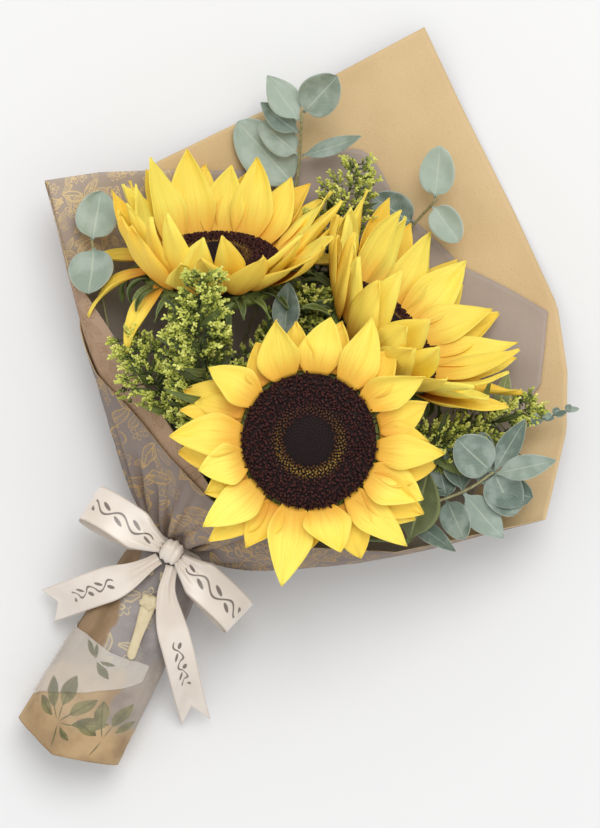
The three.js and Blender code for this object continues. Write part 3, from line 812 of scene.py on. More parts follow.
def addKnot():
    bm = startMesh()
    half = ribbon["knot"] / 2

    def place(u, v):
        angle = 2 * math.pi * u
        s = 2 * v - 1
        round_ = math.sqrt(max(0.0, 1 - (abs(s) * 0.86) ** 2.4))
        fold = 1 + 0.07 * math.cos(s * 3.2 * math.pi) + 0.05 * wave(u * 4, v * 3)
        return Vector((half * 0.92 * s, half * 1.02 * round_ * fold * math.cos(angle),
                       knotHeight + (half - 0.6) * round_ * fold * math.sin(angle)))

    addGrid(bm, 48, 22, place, lambda u, v: ((v - 0.5) * 0.02, u * 0.002), closed=True)
    bmesh.ops.recalc_face_normals(bm, faces=bm.faces)
    piece = addPiece("bow_knot", bm, [satin], "ribbon", "ribbon_knot", thickness=ribbon["thickness"])


addBand()
addKnot()
addLoop("loop_left", 179, 2, 18)
addLoop("loop_right", -14, 3, -14)
tailStart = ribbon["knot"] / 2 + 0.2
addTail("tail_left", [(-4.2, -tailStart, knotHeight - 2), (-14, -24, 47), (-31, -45, 35), (-46, -64, 9)],
        0, ribbon["width"] - 2, 22)
addTail("tail_right", [(4.2, -tailStart, knotHeight - 2), (9, -21, 47), (18, -33, 46), (34, -50, 39),
                       (48, -66, 24), (60, -79, 8)], 20, ribbon["width"] - 4, 38)
print("ribbon tied")


# sunflowers

heads = {
    "front": {
        "centre": (35.3, 92.2, 114), "faces": (0, 0, 1), "over": (-0.5, 0.866, 0), "neck": (90, 6.6),
        "route": [(2, 36, 33), (16, 62, 44), (29, 80, 55)],
        # each petal: direction from the head's upper side, clockwise, and how far out its tip is
        "inner": [(6, 67), (33, 74), (56, 71), (97, 72), (119, 68), (141, 76), (169, 63), (193, 78),
                  (228, 73), (254, 62), (274, 74), (308, 66), (339, 68)],
        "outer": [(15, 66), (45, 66), (77, 67), (88, 64), (107, 70), (125, 72), (133, 71), (152, 69),
                  (181, 62), (208, 66), (222, 75), (242, 62), (262, 70), (289, 71), (297, 73), (328, 60),
                  (352, 64)],
        "petalWidth": 24, "rise": (8, 8, 8), "curl": (0, 0, 0), "bractLength": 20, "warmth": (0.0, 0.5),
    },
    "left": {
        "centre": (-58, 150.8, 62), "faces": (-0.4455, 0.7716, 0.454), "over": (0, 0, 1),
        "neck": (210, 6.6),
        "route": [(-10, 42, 20), (-24, 82, 29)], "petalWidth": 25, "long": 48, "warmth": (0.05, 0.6),
        # how steeply petals leave the disc at its sides, above and below, and how they bend on
        "rise": (32, 44, 44), "curl": (30, 34, 12), "leftLift": 26, "bractLength": 25,
        "droops": [(52, -32, -50, 42), (84, -8, -62, 44), (108, 6, -40, 42), (-104, 4, -30, 42)],
    },
    "right": {
        "centre": (43.4, 163.4, 55), "faces": (0.31, 0.852, 0.4226), "over": (0, 0, 1),
        "neck": (330, 6.6),
        "route": [(9, 42, 18), (20, 84, 25)], "petalWidth": 24, "long": 52, "warmth": (0.0, 0.5),
        "rise": (40, 56, 40), "curl": (26, 32, 8), "bractLength": 22,
    },
}
petals = {
    "columns": 8, "rows": 16, "thickness": 0.25, "innerRadius": 36.2, "outerRadius": 38.2,
    "innerBack": 0.3, "outerBack": 2.2, "perRing": 17, "bracts": 30, "fold": 0.6, "ruffle": 3.0,
}
paperFloor = 4.6        # nothing grown reaches lower than the papers it lies on
disc = {
    "florets": 1500, "radius": 36.3, "dome": 13.0, "ringAt": 17.0, "ringWide": 5.0,
    # each floret's foot, top, height and lean
    "domeFloret": (0.62, 0.25, 1.2, 5), "ringFloret": (0.55, 0.5, 2.0, 12),
    "rimFloret": (0.42, 0.6, 2.8, 22),
    "profile": [(0, 10.4), (5, 10.2), (9, 9.0), (12, 7.4), (14.5, 5.6), (18, 4.6), (24, 4.8), (30, 4.6),
                (34, 2.6), (36.2, -0.6), (35, -3.6), (33, -4.8), (0, -4.9)],
}


def headFrame(head):
    ahead = Vector(head["faces"]).normalized()
    over = Vector(head["over"])
    over = (over - ahead * over.dot(ahead)).normalized()
    return Vector(head["centre"]), ahead, over, over.cross(ahead)


def petalShape(v):
    if v < 0.4:
        return lerp(0.5, 1.0, math.sin(math.pi / 2 * v / 0.4))
    t = (v - 0.4) / 0.6
    return max(0.03, (1 - t ** 1.8) * (1 - 0.1 * math.sin(math.pi * t)))


def bractShape(v):
    return max(0.03, lerp(0.75, 1.0, ease(0, 0.25, v)) * (1 - v ** 1.5))


def rested(point):
    point.z = max(point.z, paperFloor + 0.08 * min(0, point.z))
    return point


def bySide(values, turn):
    # a value for the head's sides, its upper side and its lower side, blended by direction
    near = math.cos(math.radians(turn))
    return lerp(values[0], values[1 if near > 0 else 2], near * near)


def addPetal(bm, head, direction, radius, back, reach, width, rise, curl=0, twist=0, cup=0.25,
             shape=petalShape, tone=0.5, seed=0.0, drift=0.0):
    middle, ahead, over, side = headFrame(head)
    angle, twist = math.radians(direction), math.radians(twist)
    out = over * math.cos(angle) + side * math.sin(angle)
    across = side * math.cos(angle) - over * math.sin(angle)
    rows = petals["rows"]
    spine, point = [], middle + out * radius - ahead * back
    for k in range(rows + 1):
        slope = math.radians(rise + curl * k / rows)
        spine.append((point.copy(), slope))
        step = out * math.cos(slope) + ahead * math.sin(slope) + across * drift * (k / rows)
        point += step.normalized() * reach / rows

    def place(u, v):
        point, slope = spine[round(v * rows)]
        s = 2 * u - 1
        half = width / 2 * shape(v)
        face = ahead * math.cos(slope) - out * math.sin(slope)
        wide = across * math.cos(twist * v) + face * math.sin(twist * v)
        thick = face * math.cos(twist * v) - across * math.sin(twist * v)
        fold = petals["fold"] * math.cos(s * 1.8 * math.pi) * math.sin(math.pi * min(1, v * 1.05))
        ruffle = petals["ruffle"] * wave(seed * 7.3, v * 2.6, s * 1.5) * v
        return rested(point + wide * s * half + thick * (cup * half * s * s + fold + ruffle))

    addGrid(bm, petals["columns"], rows, place, None, tone)


def petalLook(name, bright, deep, base):
    look, tree, shader = startLook(name, 0.6, Subsurface_Weight=0.08, Subsurface_Scale=0.004,
                                   Specular_IOR_Level=0.3)
    where = surfacePlace(tree)
    across, along = split(where)
    colour = mixed(toned(tree), tint(bright), tint(deep))
    streaks = grain(moved("MULTIPLY", where, (20.0, 1.4, 1.0)), 1.0)
    colour = mixed(fade(streaks, 0.45, 0.75, 0.0, 0.25), colour, tint(base))
    # deeper orange towards each petal's base: partly the petal's own colour, partly painted shade near the
    # disc
    baseOrangeAndShade = fade(plus(along, times(streaks, -0.2)), -0.05, 0.42, 0.8, 0.0)
    colour = mixed(baseOrangeAndShade, colour, tint(base))
    paint(shader, colour)
    ribs = calc("SINE", times(across, 50.0))
    bump(shader, plus(times(ribs, 0.4), streaks), 0.14, 0.0006)
    return look


petalFront = petalLook("petalYellow", "ffef6c", "fbd048", "eda431")
# the outer ring behind gets deeper yellows and orange: painted shade for petals lying behind and under the
# inner ring
petalBehindShaded = petalLook("petalDeep", "ffe35e", "f8c444", "e8992c")


def discLook():
    look, tree, shader = startLook("discFlorets", 0.85, Specular_IOR_Level=0.25)
    where = objectPlace(tree)
    tone = plus(toned(tree), times(grain(where, 500.0), 0.12))
    paint(shader, ramp(tone, [(0.05, tint("211b1c")), (0.26, tint("2b1414")), (0.46, tint("4a2622")),
                              (0.7, tint("6b4c24")), (0.98, tint("9a7a3a"))]))
    bump(shader, grain(where, 1500.0, 2.0), 0.3, 0.0004)
    return look


def leafVeins(tree, rib, slant, side):
    # the midrib and the veins slanting off it: where each fades out and how strong it is
    across, along = split(surfacePlace(tree))
    off = calc("ABSOLUTE", minus(across, 0.5))
    slanted = minus(times(along, slant[0]), times(off, slant[1]))
    sideVeins = fade(calc("ABSOLUTE", calc("SINE", slanted)), 0.0, *side, 0.0)
    return off, calc("MAXIMUM", fade(off, *rib, 0.0), sideVeins), sideVeins


def greenLook(name, light, dark, vein, roughness=0.6, veins=1.0):
    look, tree, shader = startLook(name, roughness)
    where = objectPlace(tree)
    off, drawn, side = leafVeins(tree, (0.012, 0.05, 0.75 * veins), (46.0, 34.0), (0.28, 0.3 * veins))
    colour = mixed(toned(tree), tint(dark), tint(light))
    colour = mixed(fade(grain(where, 160.0, 4.0), 0.35, 0.7, 0.0, 0.45), colour, tint(dark))
    colour = mixed(drawn, colour, tint(vein))
    colour = mixed(fade(off, 0.38, 0.5, 0.0, 0.6 * veins), colour, tint(vein))
    paint(shader, colour)
    bump(shader, plus(grain(where, 900.0), times(side, -2.0)), 0.3, 0.0006)
    return look


def stemLook(name, light, dark):
    look, tree, shader = startLook(name, 0.6)
    where = objectPlace(tree)
    streaks = grain(moved("MULTIPLY", where, (1.0, 0.12, 1.0)), 900.0, 3.0)
    paint(shader, mixed(fade(streaks, 0.35, 0.65), tint(dark), tint(light)))
    bump(shader, streaks, 0.3, 0.0005)
    return look


florets = discLook()
bractGreen = greenLook("bractGreen", "7d8f48", "34461d", "b4bb80", veins=0.4)
stalkGreen = stemLook("stalkGreen", "8fa052", "617235")


def discHeight(r):
    for (r0, h0), (r1, h1) in zip(disc["profile"], disc["profile"][1:]):
        if r0 <= r <= r1:
            return lerp(h0, h1, (r - r0) / (r1 - r0))
    return 0.0


def addDisc(name, head, seed):
    rnd = random.Random(seed)
    middle, ahead, over, side = headFrame(head)
    bm = startMesh()
    tones = bm.verts.layers.float["tone"]
    spots = [bm.verts.new((r * mm, 0, h * mm)) for r, h in disc["profile"]]
    edges = [bm.edges.new(pair) for pair in zip(spots, spots[1:])]
    bmesh.ops.spin(bm, geom=spots + edges, cent=(0, 0, 0), axis=(0, 0, 1), angle=2 * math.pi, steps=48,
                   use_merge=True)
    bmesh.ops.remove_doubles(bm, verts=bm.verts, dist=1e-6)
    bmesh.ops.recalc_face_normals(bm, faces=bm.faces)
    for vert in bm.verts:
        vert[tones] = 0.04
    for face in bm.faces:
        face.smooth = True
    golden = math.pi * (3 - math.sqrt(5))
    for i in range(disc["florets"]):
        r = (disc["radius"] - 0.5) * math.sqrt((i + 0.5) / disc["florets"])
        turn = i * golden
        paintedLight = 0.6 + 0.4 * math.cos(turn - 4.9)    # painted highlight: the pollen ring is painted brightest on the side the light comes from
        ring = max(0.0, 1 - abs(r - disc["ringAt"]) / disc["ringWide"])
        if r < disc["dome"]:
            floret, tone = "domeFloret", 0.02 + 0.14 * rnd.random()
        elif ring > 0.1:
            floret, tone = "ringFloret", 0.36 + 0.6 * ring * paintedLight * rnd.uniform(0.8, 1.1)
        else:
            floret, tone = "rimFloret", 0.26 + 0.16 * rnd.random()
        foot, top, tall, lean = disc[floret]
        slope = math.atan2(discHeight(max(r - 1.5, 0)) - discHeight(min(r + 1.5, 36)), 3.0)
        stand = (Matrix.Rotation(turn, 4, "Z") @ Matrix.Translation((r * mm, 0, discHeight(r) * mm))
                 @ Matrix.Rotation(slope * 0.8 + math.radians(rnd.gauss(0, lean)), 4, "Y")
                 @ Matrix.Rotation(math.radians(rnd.gauss(0, lean)), 4, "X")
                 @ Matrix.Translation((0, 0, tall * 0.4 * mm)))
        made = bmesh.ops.create_cone(bm, cap_ends=True, segments=5, radius1=foot * mm, radius2=top * mm,
                                     depth=tall * mm, matrix=stand)["verts"]
        for vert in made:
            vert[tones] = tone
    basis = Matrix((side, over, ahead)).transposed().to_4x4()
    basis = Matrix.Translation(placed(middle)) @ basis
    bmesh.ops.transform(bm, matrix=basis, verts=bm.verts)
    bmesh.ops.recalc_face_normals(bm, faces=bm.faces)
    addPiece(name + "_florets", bm, [florets], "disc", "disc_" + name)


def addRays(name, head, ring, seed):
    # one ring of petals
    rnd = random.Random(seed)
    inner = ring == "inner"
    radius = petals["innerRadius"] if inner else petals["outerRadius"]
    back = petals["innerBack"] if inner else petals["outerBack"]
    bm = startMesh()
    if ring in head:
        plan = [(turn, reach - radius) for turn, reach in head[ring]]
    else:
        step = 360 / petals["perRing"]
        shift = 0.5 if inner else 0
        plan = [(step * (k + shift) + rnd.uniform(-6, 6), head["long"] * rnd.uniform(0.84, 1.04))
                for k in range(petals["perRing"])]
    for k, (turn, reach) in enumerate(plan):
        rise = bySide(head["rise"], turn) + (4 if inner else -6)
        rise += head.get("leftLift", 0) * max(0, math.sin(math.radians(turn)))
        curl = bySide(head["curl"], turn) + rnd.uniform(-24, 14)
        addPetal(bm, head, turn, radius, back, reach * 1.04, head["petalWidth"] * rnd.uniform(0.8, 1.12),
                 rise + rnd.uniform(-6, 6), curl, twist=rnd.uniform(-34, 34), cup=rnd.uniform(0.05, 0.45),
                 tone=rnd.uniform(*head["warmth"]), seed=seed + k, drift=rnd.uniform(-0.5, 0.5))
    if not inner:
        for turn, rise, curl, reach in head.get("droops", []):
            addPetal(bm, head, turn, radius, back + 1, reach, 15, rise, curl, twist=rnd.uniform(-30, 30),
                     tone=rnd.uniform(*head["warmth"]), seed=turn)
    addPiece(f"{name}_petals_{ring}", bm, [petalFront if inner else petalBehindShaded], "petal",
             f"petals_{ring}_{name}", thickness=petals["thickness"])


def addBracts(name, head, seed):
    rnd = random.Random(seed)
    bm = startMesh()
    for k in range(petals["bracts"]):
        turn = 360 / petals["bracts"] * (k + 0.3) + rnd.uniform(-4, 4)
        outer = k % 2
        rise = bySide(head["rise"], turn) - 22 - 8 * outer
        addPetal(bm, head, turn, 38 + outer, 4.6 + 1.2 * outer,
                 head["bractLength"] * rnd.uniform(0.7, 1.05), rnd.uniform(4, 6.5), rise,
                 curl=rnd.uniform(-190, 0), twist=rnd.uniform(-40, 40),
                 cup=0.6, shape=bractShape, tone=rnd.random(), seed=seed + k)
    addPiece(name + "_bracts", bm, [bractGreen], "bract", "bracts_" + name, thickness=0.4)


def stemKnots(neck, route):
    # from the cut end in the sleeve, through the tie, and on along the route
    angle, radius = math.radians(neck[0]), neck[1]
    out = Vector((math.cos(angle), 0, math.sin(angle)))
    low = [(-110, 1.2), (-45, 1.05), (-8, 1), (8, 1)]
    knots = [Vector((0, y, neckHeight)) + out * radius * wide for y, wide in low]
    return knots + [Vector(point) for point in route]


def stemPath(plant, steps):
    return evenPath(curveThrough(stemKnots(plant["neck"], plant["route"])), steps)


def taper(thick, thin, steps):
    return [lerp(thick, thin, k / steps) for k in range(steps + 1)]


def addStalk(name, head):
    middle, ahead = headFrame(head)[:2]
    # how far behind the head's middle, and the radius there
    cup = [(46, 4.5), (38, 4.6), (32, 5.2), (28, 7), (23, 12), (19.5, 19), (16, 27), (12.5, 34),
           (9, 38.6), (6.6, 40), (5.4, 39)]
    knots = stemKnots(head["neck"], head["route"])
    lower = evenPath(curveThrough(knots + [middle - ahead * 46, middle - ahead * 23], 10)[:-10], 40)
    path = lower[:-1] + [middle - ahead * back for back, _ in cup]
    radii = [4.5 + 0.25 * wave(k * 0.6, 4.0) for k in range(len(lower) - 1)]
    radii += [radius for _, radius in cup]
    bm = startMesh()
    addTube(bm, path, radii, 20)
    addPiece(name + "_stem", bm, [stalkGreen], "stalk", "stalk_" + name)


for number, (name, head) in enumerate(heads.items()):
    addDisc(name, head, 11 + number)
    addRays(name, head, "inner", 21 + number)
    addRays(name, head, "outer", 41 + number)
    addBracts(name, head, 61 + number)
    addStalk(name, head)
print("sunflowers grown")


# leaves: eucalyptus and sunflower leaves

def leafPlace(node, stem):
    # a CAD leaf's base, tip, width and the way its face looks
    points = np.array([vert.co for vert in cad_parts[node].data.vertices])
    centre = points.mean(0)
    axes = np.linalg.svd(points - centre, full_matrices=False)[2]
    along, across, facing = axes
    reach = (points - centre) @ along
    ends = [points[reach.argmin()], points[reach.argmax()]]
    stemPoints = np.array([vert.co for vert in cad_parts[stem].data.vertices])
    gaps = [np.linalg.norm(stemPoints - end, axis=1).min() for end in ends]
    base, tip = ends if gaps[0] < gaps[1] else ends[::-1]
    spread = (points - centre) @ across
    facing = Vector(facing) if facing[2] > 0 else -Vector(facing)
    width = (spread.max() - spread.min()) / mm
    return (Vector(base) - tie) / mm, (Vector(tip) - tie) / mm, width, facing


def roundLeaf(v):
    if v < 0.06:
        return 0.08
    t = (v - 0.06) / 0.94
    return max(0.05, math.sin(math.pi * t ** 0.8) ** 0.5)


def longLeaf(v):
    if v < 0.08:
        return 0.12
    t = (v - 0.08) / 0.92
    return max(0.04, math.sin(math.pi * t ** 0.8) ** 0.85)


def addLeaf(bm, base, tip, width, facing, shape=roundLeaf, cup=0.16, droop=0.08, tone=0.5, seed=0.0,
            columns=12, rows=18):
    along = tip - base
    facing = (facing - along.normalized() * facing.dot(along.normalized())).normalized()
    side = along.normalized().cross(facing)

    def place(u, v):
        s = 2 * u - 1
        half = width / 2 * shape(v)
        lift = cup * half * s * s - droop * along.length * math.sin(math.pi * v)
        lift += width * 0.05 * wave(seed, v * 2.2, s * 1.4)
        lift -= 0.25 * math.exp(-(s * 6) ** 2) * math.sin(math.pi * v)     # the midrib's groove
        return rested(base + along * v + side * s * half + facing * lift)

    addGrid(bm, columns, rows, place, None, tone)


def eucalyptusLook(name, light, dark, bloom):
    look, tree, shader = startLook(name, 0.55, Sheen_Weight=0.15)
    where = objectPlace(tree)
    off, drawn, side = leafVeins(tree, (0.008, 0.03, 0.5), (30.0, 26.0), (0.16, 0.2))
    colour = mixed(toned(tree), tint(dark), tint(light))
    colour = mixed(fade(grain(where, 90.0, 4.0), 0.42, 0.66, 0.0, 0.38), colour, tint(bloom))
    colour = mixed(drawn, colour, tint("c3ccb6"))
    colour = mixed(fade(off, 0.46, 0.5, 0.0, 0.4), colour, tint("d0d6c6"))
    paint(shader, colour)
    bump(shader, plus(grain(where, 700.0), times(side, -3.0)), 0.18, 0.0005)
    return look


eucalyptusGreen = eucalyptusLook("eucalyptusLeaf", "a4b4a5", "5c6f62", "bac6bc")
sprigStem = stemLook("sprigStem", "a39d74", "7f7c55")
leafGreen = greenLook("leafGreen", "6b7540", "39431f", "8b9158", 0.5)
paleLeaf = greenLook("paleLeaf", "a8b07a", "7d8a55", "c4c899", 0.55)

leafTurn = 2.4      # from one leaf or bud to the next, round the stem
eucalyptus = {
    # tones: light or dark, leaf by leaf, partly the leaves' own colour and partly painted light and shade;
    # twins: leaves with another across the stem from them
    "left": {"neck": (176, 13.2),
             "route": [(-38, 36, 33), (-78, 74, 43), (-108, 108, 50), (-125, 128, 51)],
             "leaves": 2, "grow": 1.1, "tones": (0.7, 0.55)},
    "top": {"neck": (252, 13.2), "leaves": 6, "grow": 1.2, "tones": (0.9, 0.45, 0.2, 0.6, 0.8, 0.35),
            "route": [(-12, 60, 7), (-26, 130, 6), (-36, 190, 7), (-44, 216, 13), (-60, 250, 30)]},
    "right": {"neck": (289, 13.2), "leaves": 3, "grow": 1.1, "tones": (0.95, 0.85, -0.3),
              "route": [(8, 60, 6), (16, 130, 5.5), (20, 190, 5), (25, 224, 6.5), (30, 246, 23)]},
    "centre": {"neck": (88, 13.2), "route": [(-6, 42, 48), (-9, 84, 68), (-6, 118, 80), (-4, 134, 88)],
               "leaves": 2, "grow": 1.15, "tones": (-0.35, 0.1)},
    "lower": {"neck": (24, 13.2), "leaves": 6, "grow": 1.3, "twins": 6,
              "tones": (0.25, 0.0, 0.5, 0.1, 0.6, -0.1),
              "route": [(46, 36, 46), (80, 64, 61), (104, 88, 68), (124, 112, 72), (132, 128, 74)]},
}


def addEucalyptus(name, sprig, seed):
    rnd = random.Random(seed)
    stem = "eucalyptus_stem_" + name
    steps = 60
    path = stemPath(sprig, steps)
    bm = startMesh()
    addTube(bm, path, taper(1.4, 0.8, steps), 8)
    addPiece(f"eucalyptus_{name}_stem", bm, [sprigStem], "sprig", stem)
    for k in range(sprig["leaves"]):
        node = f"eucalyptus_leaf_{name}_{k + 1}"
        base, tip, width, facing = leafPlace(node, stem)
        near = min(path, key=lambda point: (point - base).length)
        spot = path.index(near)
        ahead = (path[min(spot + 1, steps)] - path[max(spot - 1, 0)]).normalized()
        width *= sprig["grow"]
        blade = (tip - near) * (1 + (sprig["grow"] - 1) * 0.6)
        shape = roundLeaf if width > 0.6 * blade.length else longLeaf
        bm = startMesh()
        addLeaf(bm, near.lerp(base, 0.5), near + blade, width, facing, shape, cup=rnd.uniform(0.08, 0.22),
                droop=rnd.uniform(0.02, 0.1), tone=sprig["tones"][k], seed=seed + k)
        addPiece(f"eucalyptus_{name}_leaf_{k + 1}", bm, [eucalyptusGreen], "eucalyptus", node,
                 thickness=0.35)
        if k < sprig.get("twins", 0):       # the leaf across the stem from it, a little lower, in a darker tone as painted shade
            opposite = ahead * 2 * blade.dot(ahead) - blade
            opposite.z = rnd.uniform(-8, -2)
            bm = startMesh()
            addLeaf(bm, near, near + opposite * rnd.uniform(0.75, 1.0), width * rnd.uniform(0.8, 1.0),
                    upward + ahead * rnd.uniform(-0.5, 0.5), shape, cup=0.2,
                    tone=rnd.uniform(-0.3, 0.2), seed=seed - k)
            addPiece(f"eucalyptus_{name}_twin_{k + 1}", bm, [eucalyptusGreen], "eucalyptus",
                     thickness=0.35)


for number, (name, sprig) in enumerate(eucalyptus.items()):
    addEucalyptus(name, sprig, 81 + number * 10)


def addTipShoot():
    shoot = {"neck": (346, 13.2), "route": [(60, 46, 34), (106, 100, 42), (134, 156, 48), (151, 178, 52)]}
    path = stemPath(shoot, 50)
    bm = startMesh()
    addTube(bm, path, taper(1.2, 0.6, 50), 6)
    rnd = random.Random(7)
    for k in range(12):
        turn = k * leafTurn
        foot = path[-1 - k // 3]
        way = Vector((0.45 + 0.5 * math.cos(turn), 0.75 + 0.4 * math.sin(turn * 1.3),
                      0.6 * math.sin(turn)))
        addLeaf(bm, foot, foot + way * rnd.uniform(5, 8.5), rnd.uniform(3, 5), Vector((0, -0.3, 1)),
                tone=rnd.random(), seed=k, columns=4, rows=6)
    addPiece("eucalyptus_right_tip", bm, [eucalyptusGreen], "eucalyptus", "eucalyptus_tip_right",
             thickness=0.3)


addTipShoot()

sunflowerLeaves = {
    "front": {"neck": (60, 13.2), "route": [(44, 34, 56), (84, 58, 76), (110, 72, 88)],
              "tip": (-10, 38, 4), "width": 24, "look": leafGreen},
    "right": {"neck": (324, 13.2), "route": [(42, 46, 18), (92, 108, 29), (122, 153, 33)],
              "tip": (-9, 28, 2), "width": 10, "look": paleLeaf},
}
for name, leaf in sunflowerLeaves.items():
    path = stemPath(leaf, 50)
    bm = startMesh()
    addTube(bm, path, [1.4] * len(path), 8, 0.5)
    addLeaf(bm, path[-1], path[-1] + Vector(leaf["tip"]), leaf["width"], upward, longLeaf, tone=0.5)
    addPiece("sunflower_leaf_" + name, bm, [leaf["look"]], "leaf", "leaf_" + name, thickness=0.4)
print("leaves set")


# goldenrod

goldenrod = {
    # plume: the share of the stem that flowers; spread: how wide it stands;
    # sprays: how many twigs of buds
    "low": {"neck": (158, 13.2), "route": [(-24, 40, 46), (-38, 66, 69), (-60, 81, 77), (-80, 90, 78)],
            "plume": 0.48, "spread": 21, "sprays": 300},
    "middle": {"neck": (140, 13.2),
               "route": [(-14, 44, 52), (-24, 78, 72), (-38, 102, 80), (-56, 117, 84)],
               "plume": 0.46, "spread": 25, "sprays": 340},
    "upper": {"neck": (122, 13.2), "plume": 0.34, "spread": 20, "sprays": 260,
              "route": [(-8, 48, 62), (-20, 80, 90), (-36, 101, 108), (-50, 121, 124), (-57, 141, 137)]},
    "centre": {"neck": (105, 13.2), "route": [(-4, 46, 40), (-3, 90, 52), (-4, 130, 64), (-3, 166, 76)],
               "plume": 0.38, "spread": 17, "sprays": 220},
    "far": {"neck": (270, 13.2), "route": [(-2, 60, 8), (-6, 130, 10), (-8, 184, 24), (-18, 240, 36)],
            "plume": 0.24, "spread": 19, "sprays": 170},
    "right": {"neck": (5, 13.2), "route": [(50, 50, 38), (84, 98, 50), (104, 132, 53), (136, 173, 47)],
              "plume": 0.4, "spread": 15, "sprays": 240},
    "near": {"neck": (42, 13.2), "route": [(42, 44, 50), (70, 82, 66), (90, 112, 70), (111, 142, 63)],
             "plume": 0.4, "spread": 18, "sprays": 240},
}
spray = {"kinds": 6, "buds": 12, "length": 7, "budSize": 0.9}
greens = {
    "perSprig": 36, "length": (18, 34), "width": (3, 5.5),
    "nearest": 62, "leftmost": -84,     # they stop short of the paper on the near side and the left
    "clear": 72,                        # and round the middle of the front head
}


def goldenrodLook():
    look, tree, shader = startLook("goldenrodBuds", 0.75)
    patchy = minus(grain(objectPlace(tree), 160.0), 0.5)
    tone = plus(toned(tree), times(patchy, 0.8))
    paint(shader, ramp(tone, [(0.05, tint("303f1b")), (0.28, tint("75833a")), (0.55, tint("bcc352")),
                              (1.0, tint("e9e985"))]))
    return look


goldenrodBuds = goldenrodLook()
# dark greens, partly the leaves' own colour and partly painted shade for the bunch's dark inside
goldenrodLeaf = greenLook("goldenrodLeaf", "6d7a3a", "2c3a19", "7f8a4a")


def jitter(rnd):
    return Vector([rnd.gauss(0, 0.35) for _ in range(3)])


def startSpray(seed):
    # a short twig set with buds, standing on the origin, to be copied many times
    rnd = random.Random(seed)
    bm = startMesh()
    tones = bm.verts.layers.float["tone"]
    for k in range(spray["buds"]):
        share = (k + 0.6) / spray["buds"]
        off = (1.0 - share * 0.6) * 1.35
        x, y = math.cos(k * leafTurn), math.sin(k * leafTurn)
        centre = Vector((off * x, off * y, share * spray["length"])) + jitter(rnd)
        aim = Vector((x, y, 1.2)).to_track_quat("Z", "Y")
        size = spray["budSize"] * rnd.uniform(0.7, 1.2)
        made = bmesh.ops.create_icosphere(bm, subdivisions=1, radius=size * mm,
                                          matrix=Matrix.Translation(centre * mm)
                                          @ aim.to_matrix().to_4x4()
                                          @ Matrix.Diagonal((0.8, 0.8, 1.35, 1)))["verts"]
        tone = lerp(-0.26, 0.26, share) + rnd.uniform(-0.14, 0.14)
        for vert in made:
            vert[tones] = tone
    return finishMesh("spray", bm)


sprays = [startSpray(seed) for seed in range(spray["kinds"])]


def addSpray(bm, mesh, foot, ahead, size, turn, tone):
    copied = mesh.copy()
    copied.transform(Matrix.Translation(placed(foot)) @ ahead.to_track_quat("Z", "Y").to_matrix().to_4x4()
                     @ Matrix.Rotation(turn, 4, "Z") @ Matrix.Scale(size, 4))
    tones = np.empty(len(copied.vertices), dtype=np.float32)
    copied.attributes["tone"].data.foreach_get("value", tones)
    copied.attributes["tone"].data.foreach_set("value", tones + np.float32(tone))
    bm.from_mesh(copied)
    bpy.data.meshes.remove(copied)


def withinFront(point):
    away = point - Vector(heads["front"]["centre"])
    return away.z > -16 and math.hypot(away.x, away.y) < greens["clear"]


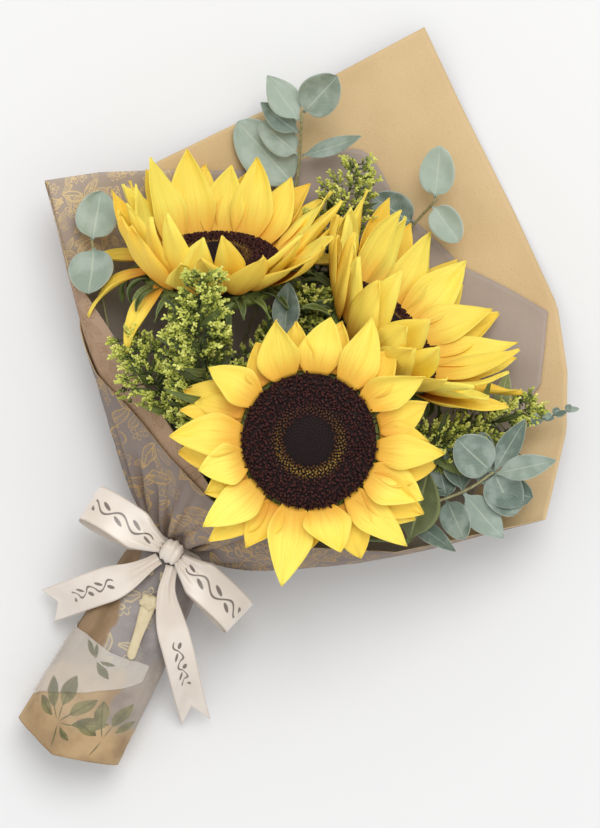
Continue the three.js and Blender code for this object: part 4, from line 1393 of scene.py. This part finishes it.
def addGoldenrod(name, sprig, seed):
    rnd = random.Random(seed)
    steps = 120
    path = stemPath(sprig, steps)
    bm = startMesh()
    addTube(bm, path[::2], taper(1.4, 0.5, steps // 2), 6, 0.1)

    def standing(place):
        # the stem's direction and the two directions across it
        after = min(steps, place + 3)
        ahead = (path[after] - path[after - 6]).normalized()
        side = ahead.cross(upward).normalized()
        return ahead, side, side.cross(ahead)

    for k in range(sprig["sprays"]):
        share = (k + 0.5) / sprig["sprays"]
        place = round(steps * (1 - sprig["plume"] * (1 - share)))
        ahead, side, above = standing(place)
        turn = math.radians(rnd.uniform(-30, 210))
        out = side * math.cos(turn) + above * math.sin(turn) * 0.7
        wide = sprig["spread"] * math.sin(math.pi * (0.22 + 0.72 * share)) ** 0.8
        reach = wide * math.sqrt(rnd.uniform(0.05, 1)) * rnd.uniform(0.8, 1.1)
        foot = path[place] + (out + ahead * 0.35) * reach
        if foot.y < greens["nearest"] or foot.z < paperFloor + 3 or withinFront(foot):
            continue
        if k % 3 == 0:
            addTube(bm, [path[place], path[place].lerp(foot, 0.5) + upward, foot], [0.45] * 3, 3, 0.15)
        way = out + ahead * 0.8 + jitter(rnd)
        # painted light: buds standing higher above their stem get a brighter tone
        paintedLight = (foot.z - path[place].z) / sprig["spread"]
        addSpray(bm, rnd.choice(sprays), foot, way.normalized(), rnd.uniform(0.7, 1.1),
                 rnd.uniform(0, 6.28), 0.45 + 0.28 * paintedLight + rnd.uniform(-0.14, 0.14))
    addPiece("goldenrod_sprig_" + name, bm, [goldenrodBuds], "goldenrod", "goldenrod_" + name)
    bm = startMesh()
    for k in range(greens["perSprig"]):
        place = round(steps * (0.45 + 0.48 * k / greens["perSprig"]))
        ahead, side, above = standing(place)
        turn = k * leafTurn + seed
        out = side * math.cos(turn) + above * math.sin(turn)
        tip = path[place] + (ahead * 0.7 + out).normalized() * rnd.uniform(*greens["length"])
        tip.z = max(tip.z, 6)
        outside = min(tip.y, path[place].y) < greens["nearest"] or tip.x < greens["leftmost"]
        if outside or withinFront(tip):
            continue
        # most leaves take the darker end of their greens, as painted shade
        addLeaf(bm, path[place], tip, rnd.uniform(*greens["width"]), upward + out * 0.3, longLeaf,
                droop=rnd.uniform(-0.25, 0.1), tone=rnd.random() ** 2, seed=k, columns=3, rows=8)
    addPiece("goldenrod_leaves_" + name, bm, [goldenrodLeaf], "goldenrod")


for number, (name, sprig) in enumerate(goldenrod.items()):
    addGoldenrod(name, sprig, 101 + number)
for mesh in sprays:
    bpy.data.meshes.remove(mesh)
print("goldenrod bunched")


# the string round the stems stays as the frame's own solid

def stringLook():
    look, tree, shader = startLook("tieString", 0.85)
    where = objectPlace(tree)
    twisted = addNode(tree, "TexWave", {"Vector": where, "Scale": 320.0, "Distortion": 1.5},
                      bands_direction="DIAGONAL")
    paint(shader, mixed(twisted.outputs[1], tint("8f7747"), tint("c7ad78")))
    bump(shader, twisted.outputs[1], 0.5, 0.0006)
    return look


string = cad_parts["stem_tie"]
string.data.materials.clear()
string.data.materials.append(stringLook())
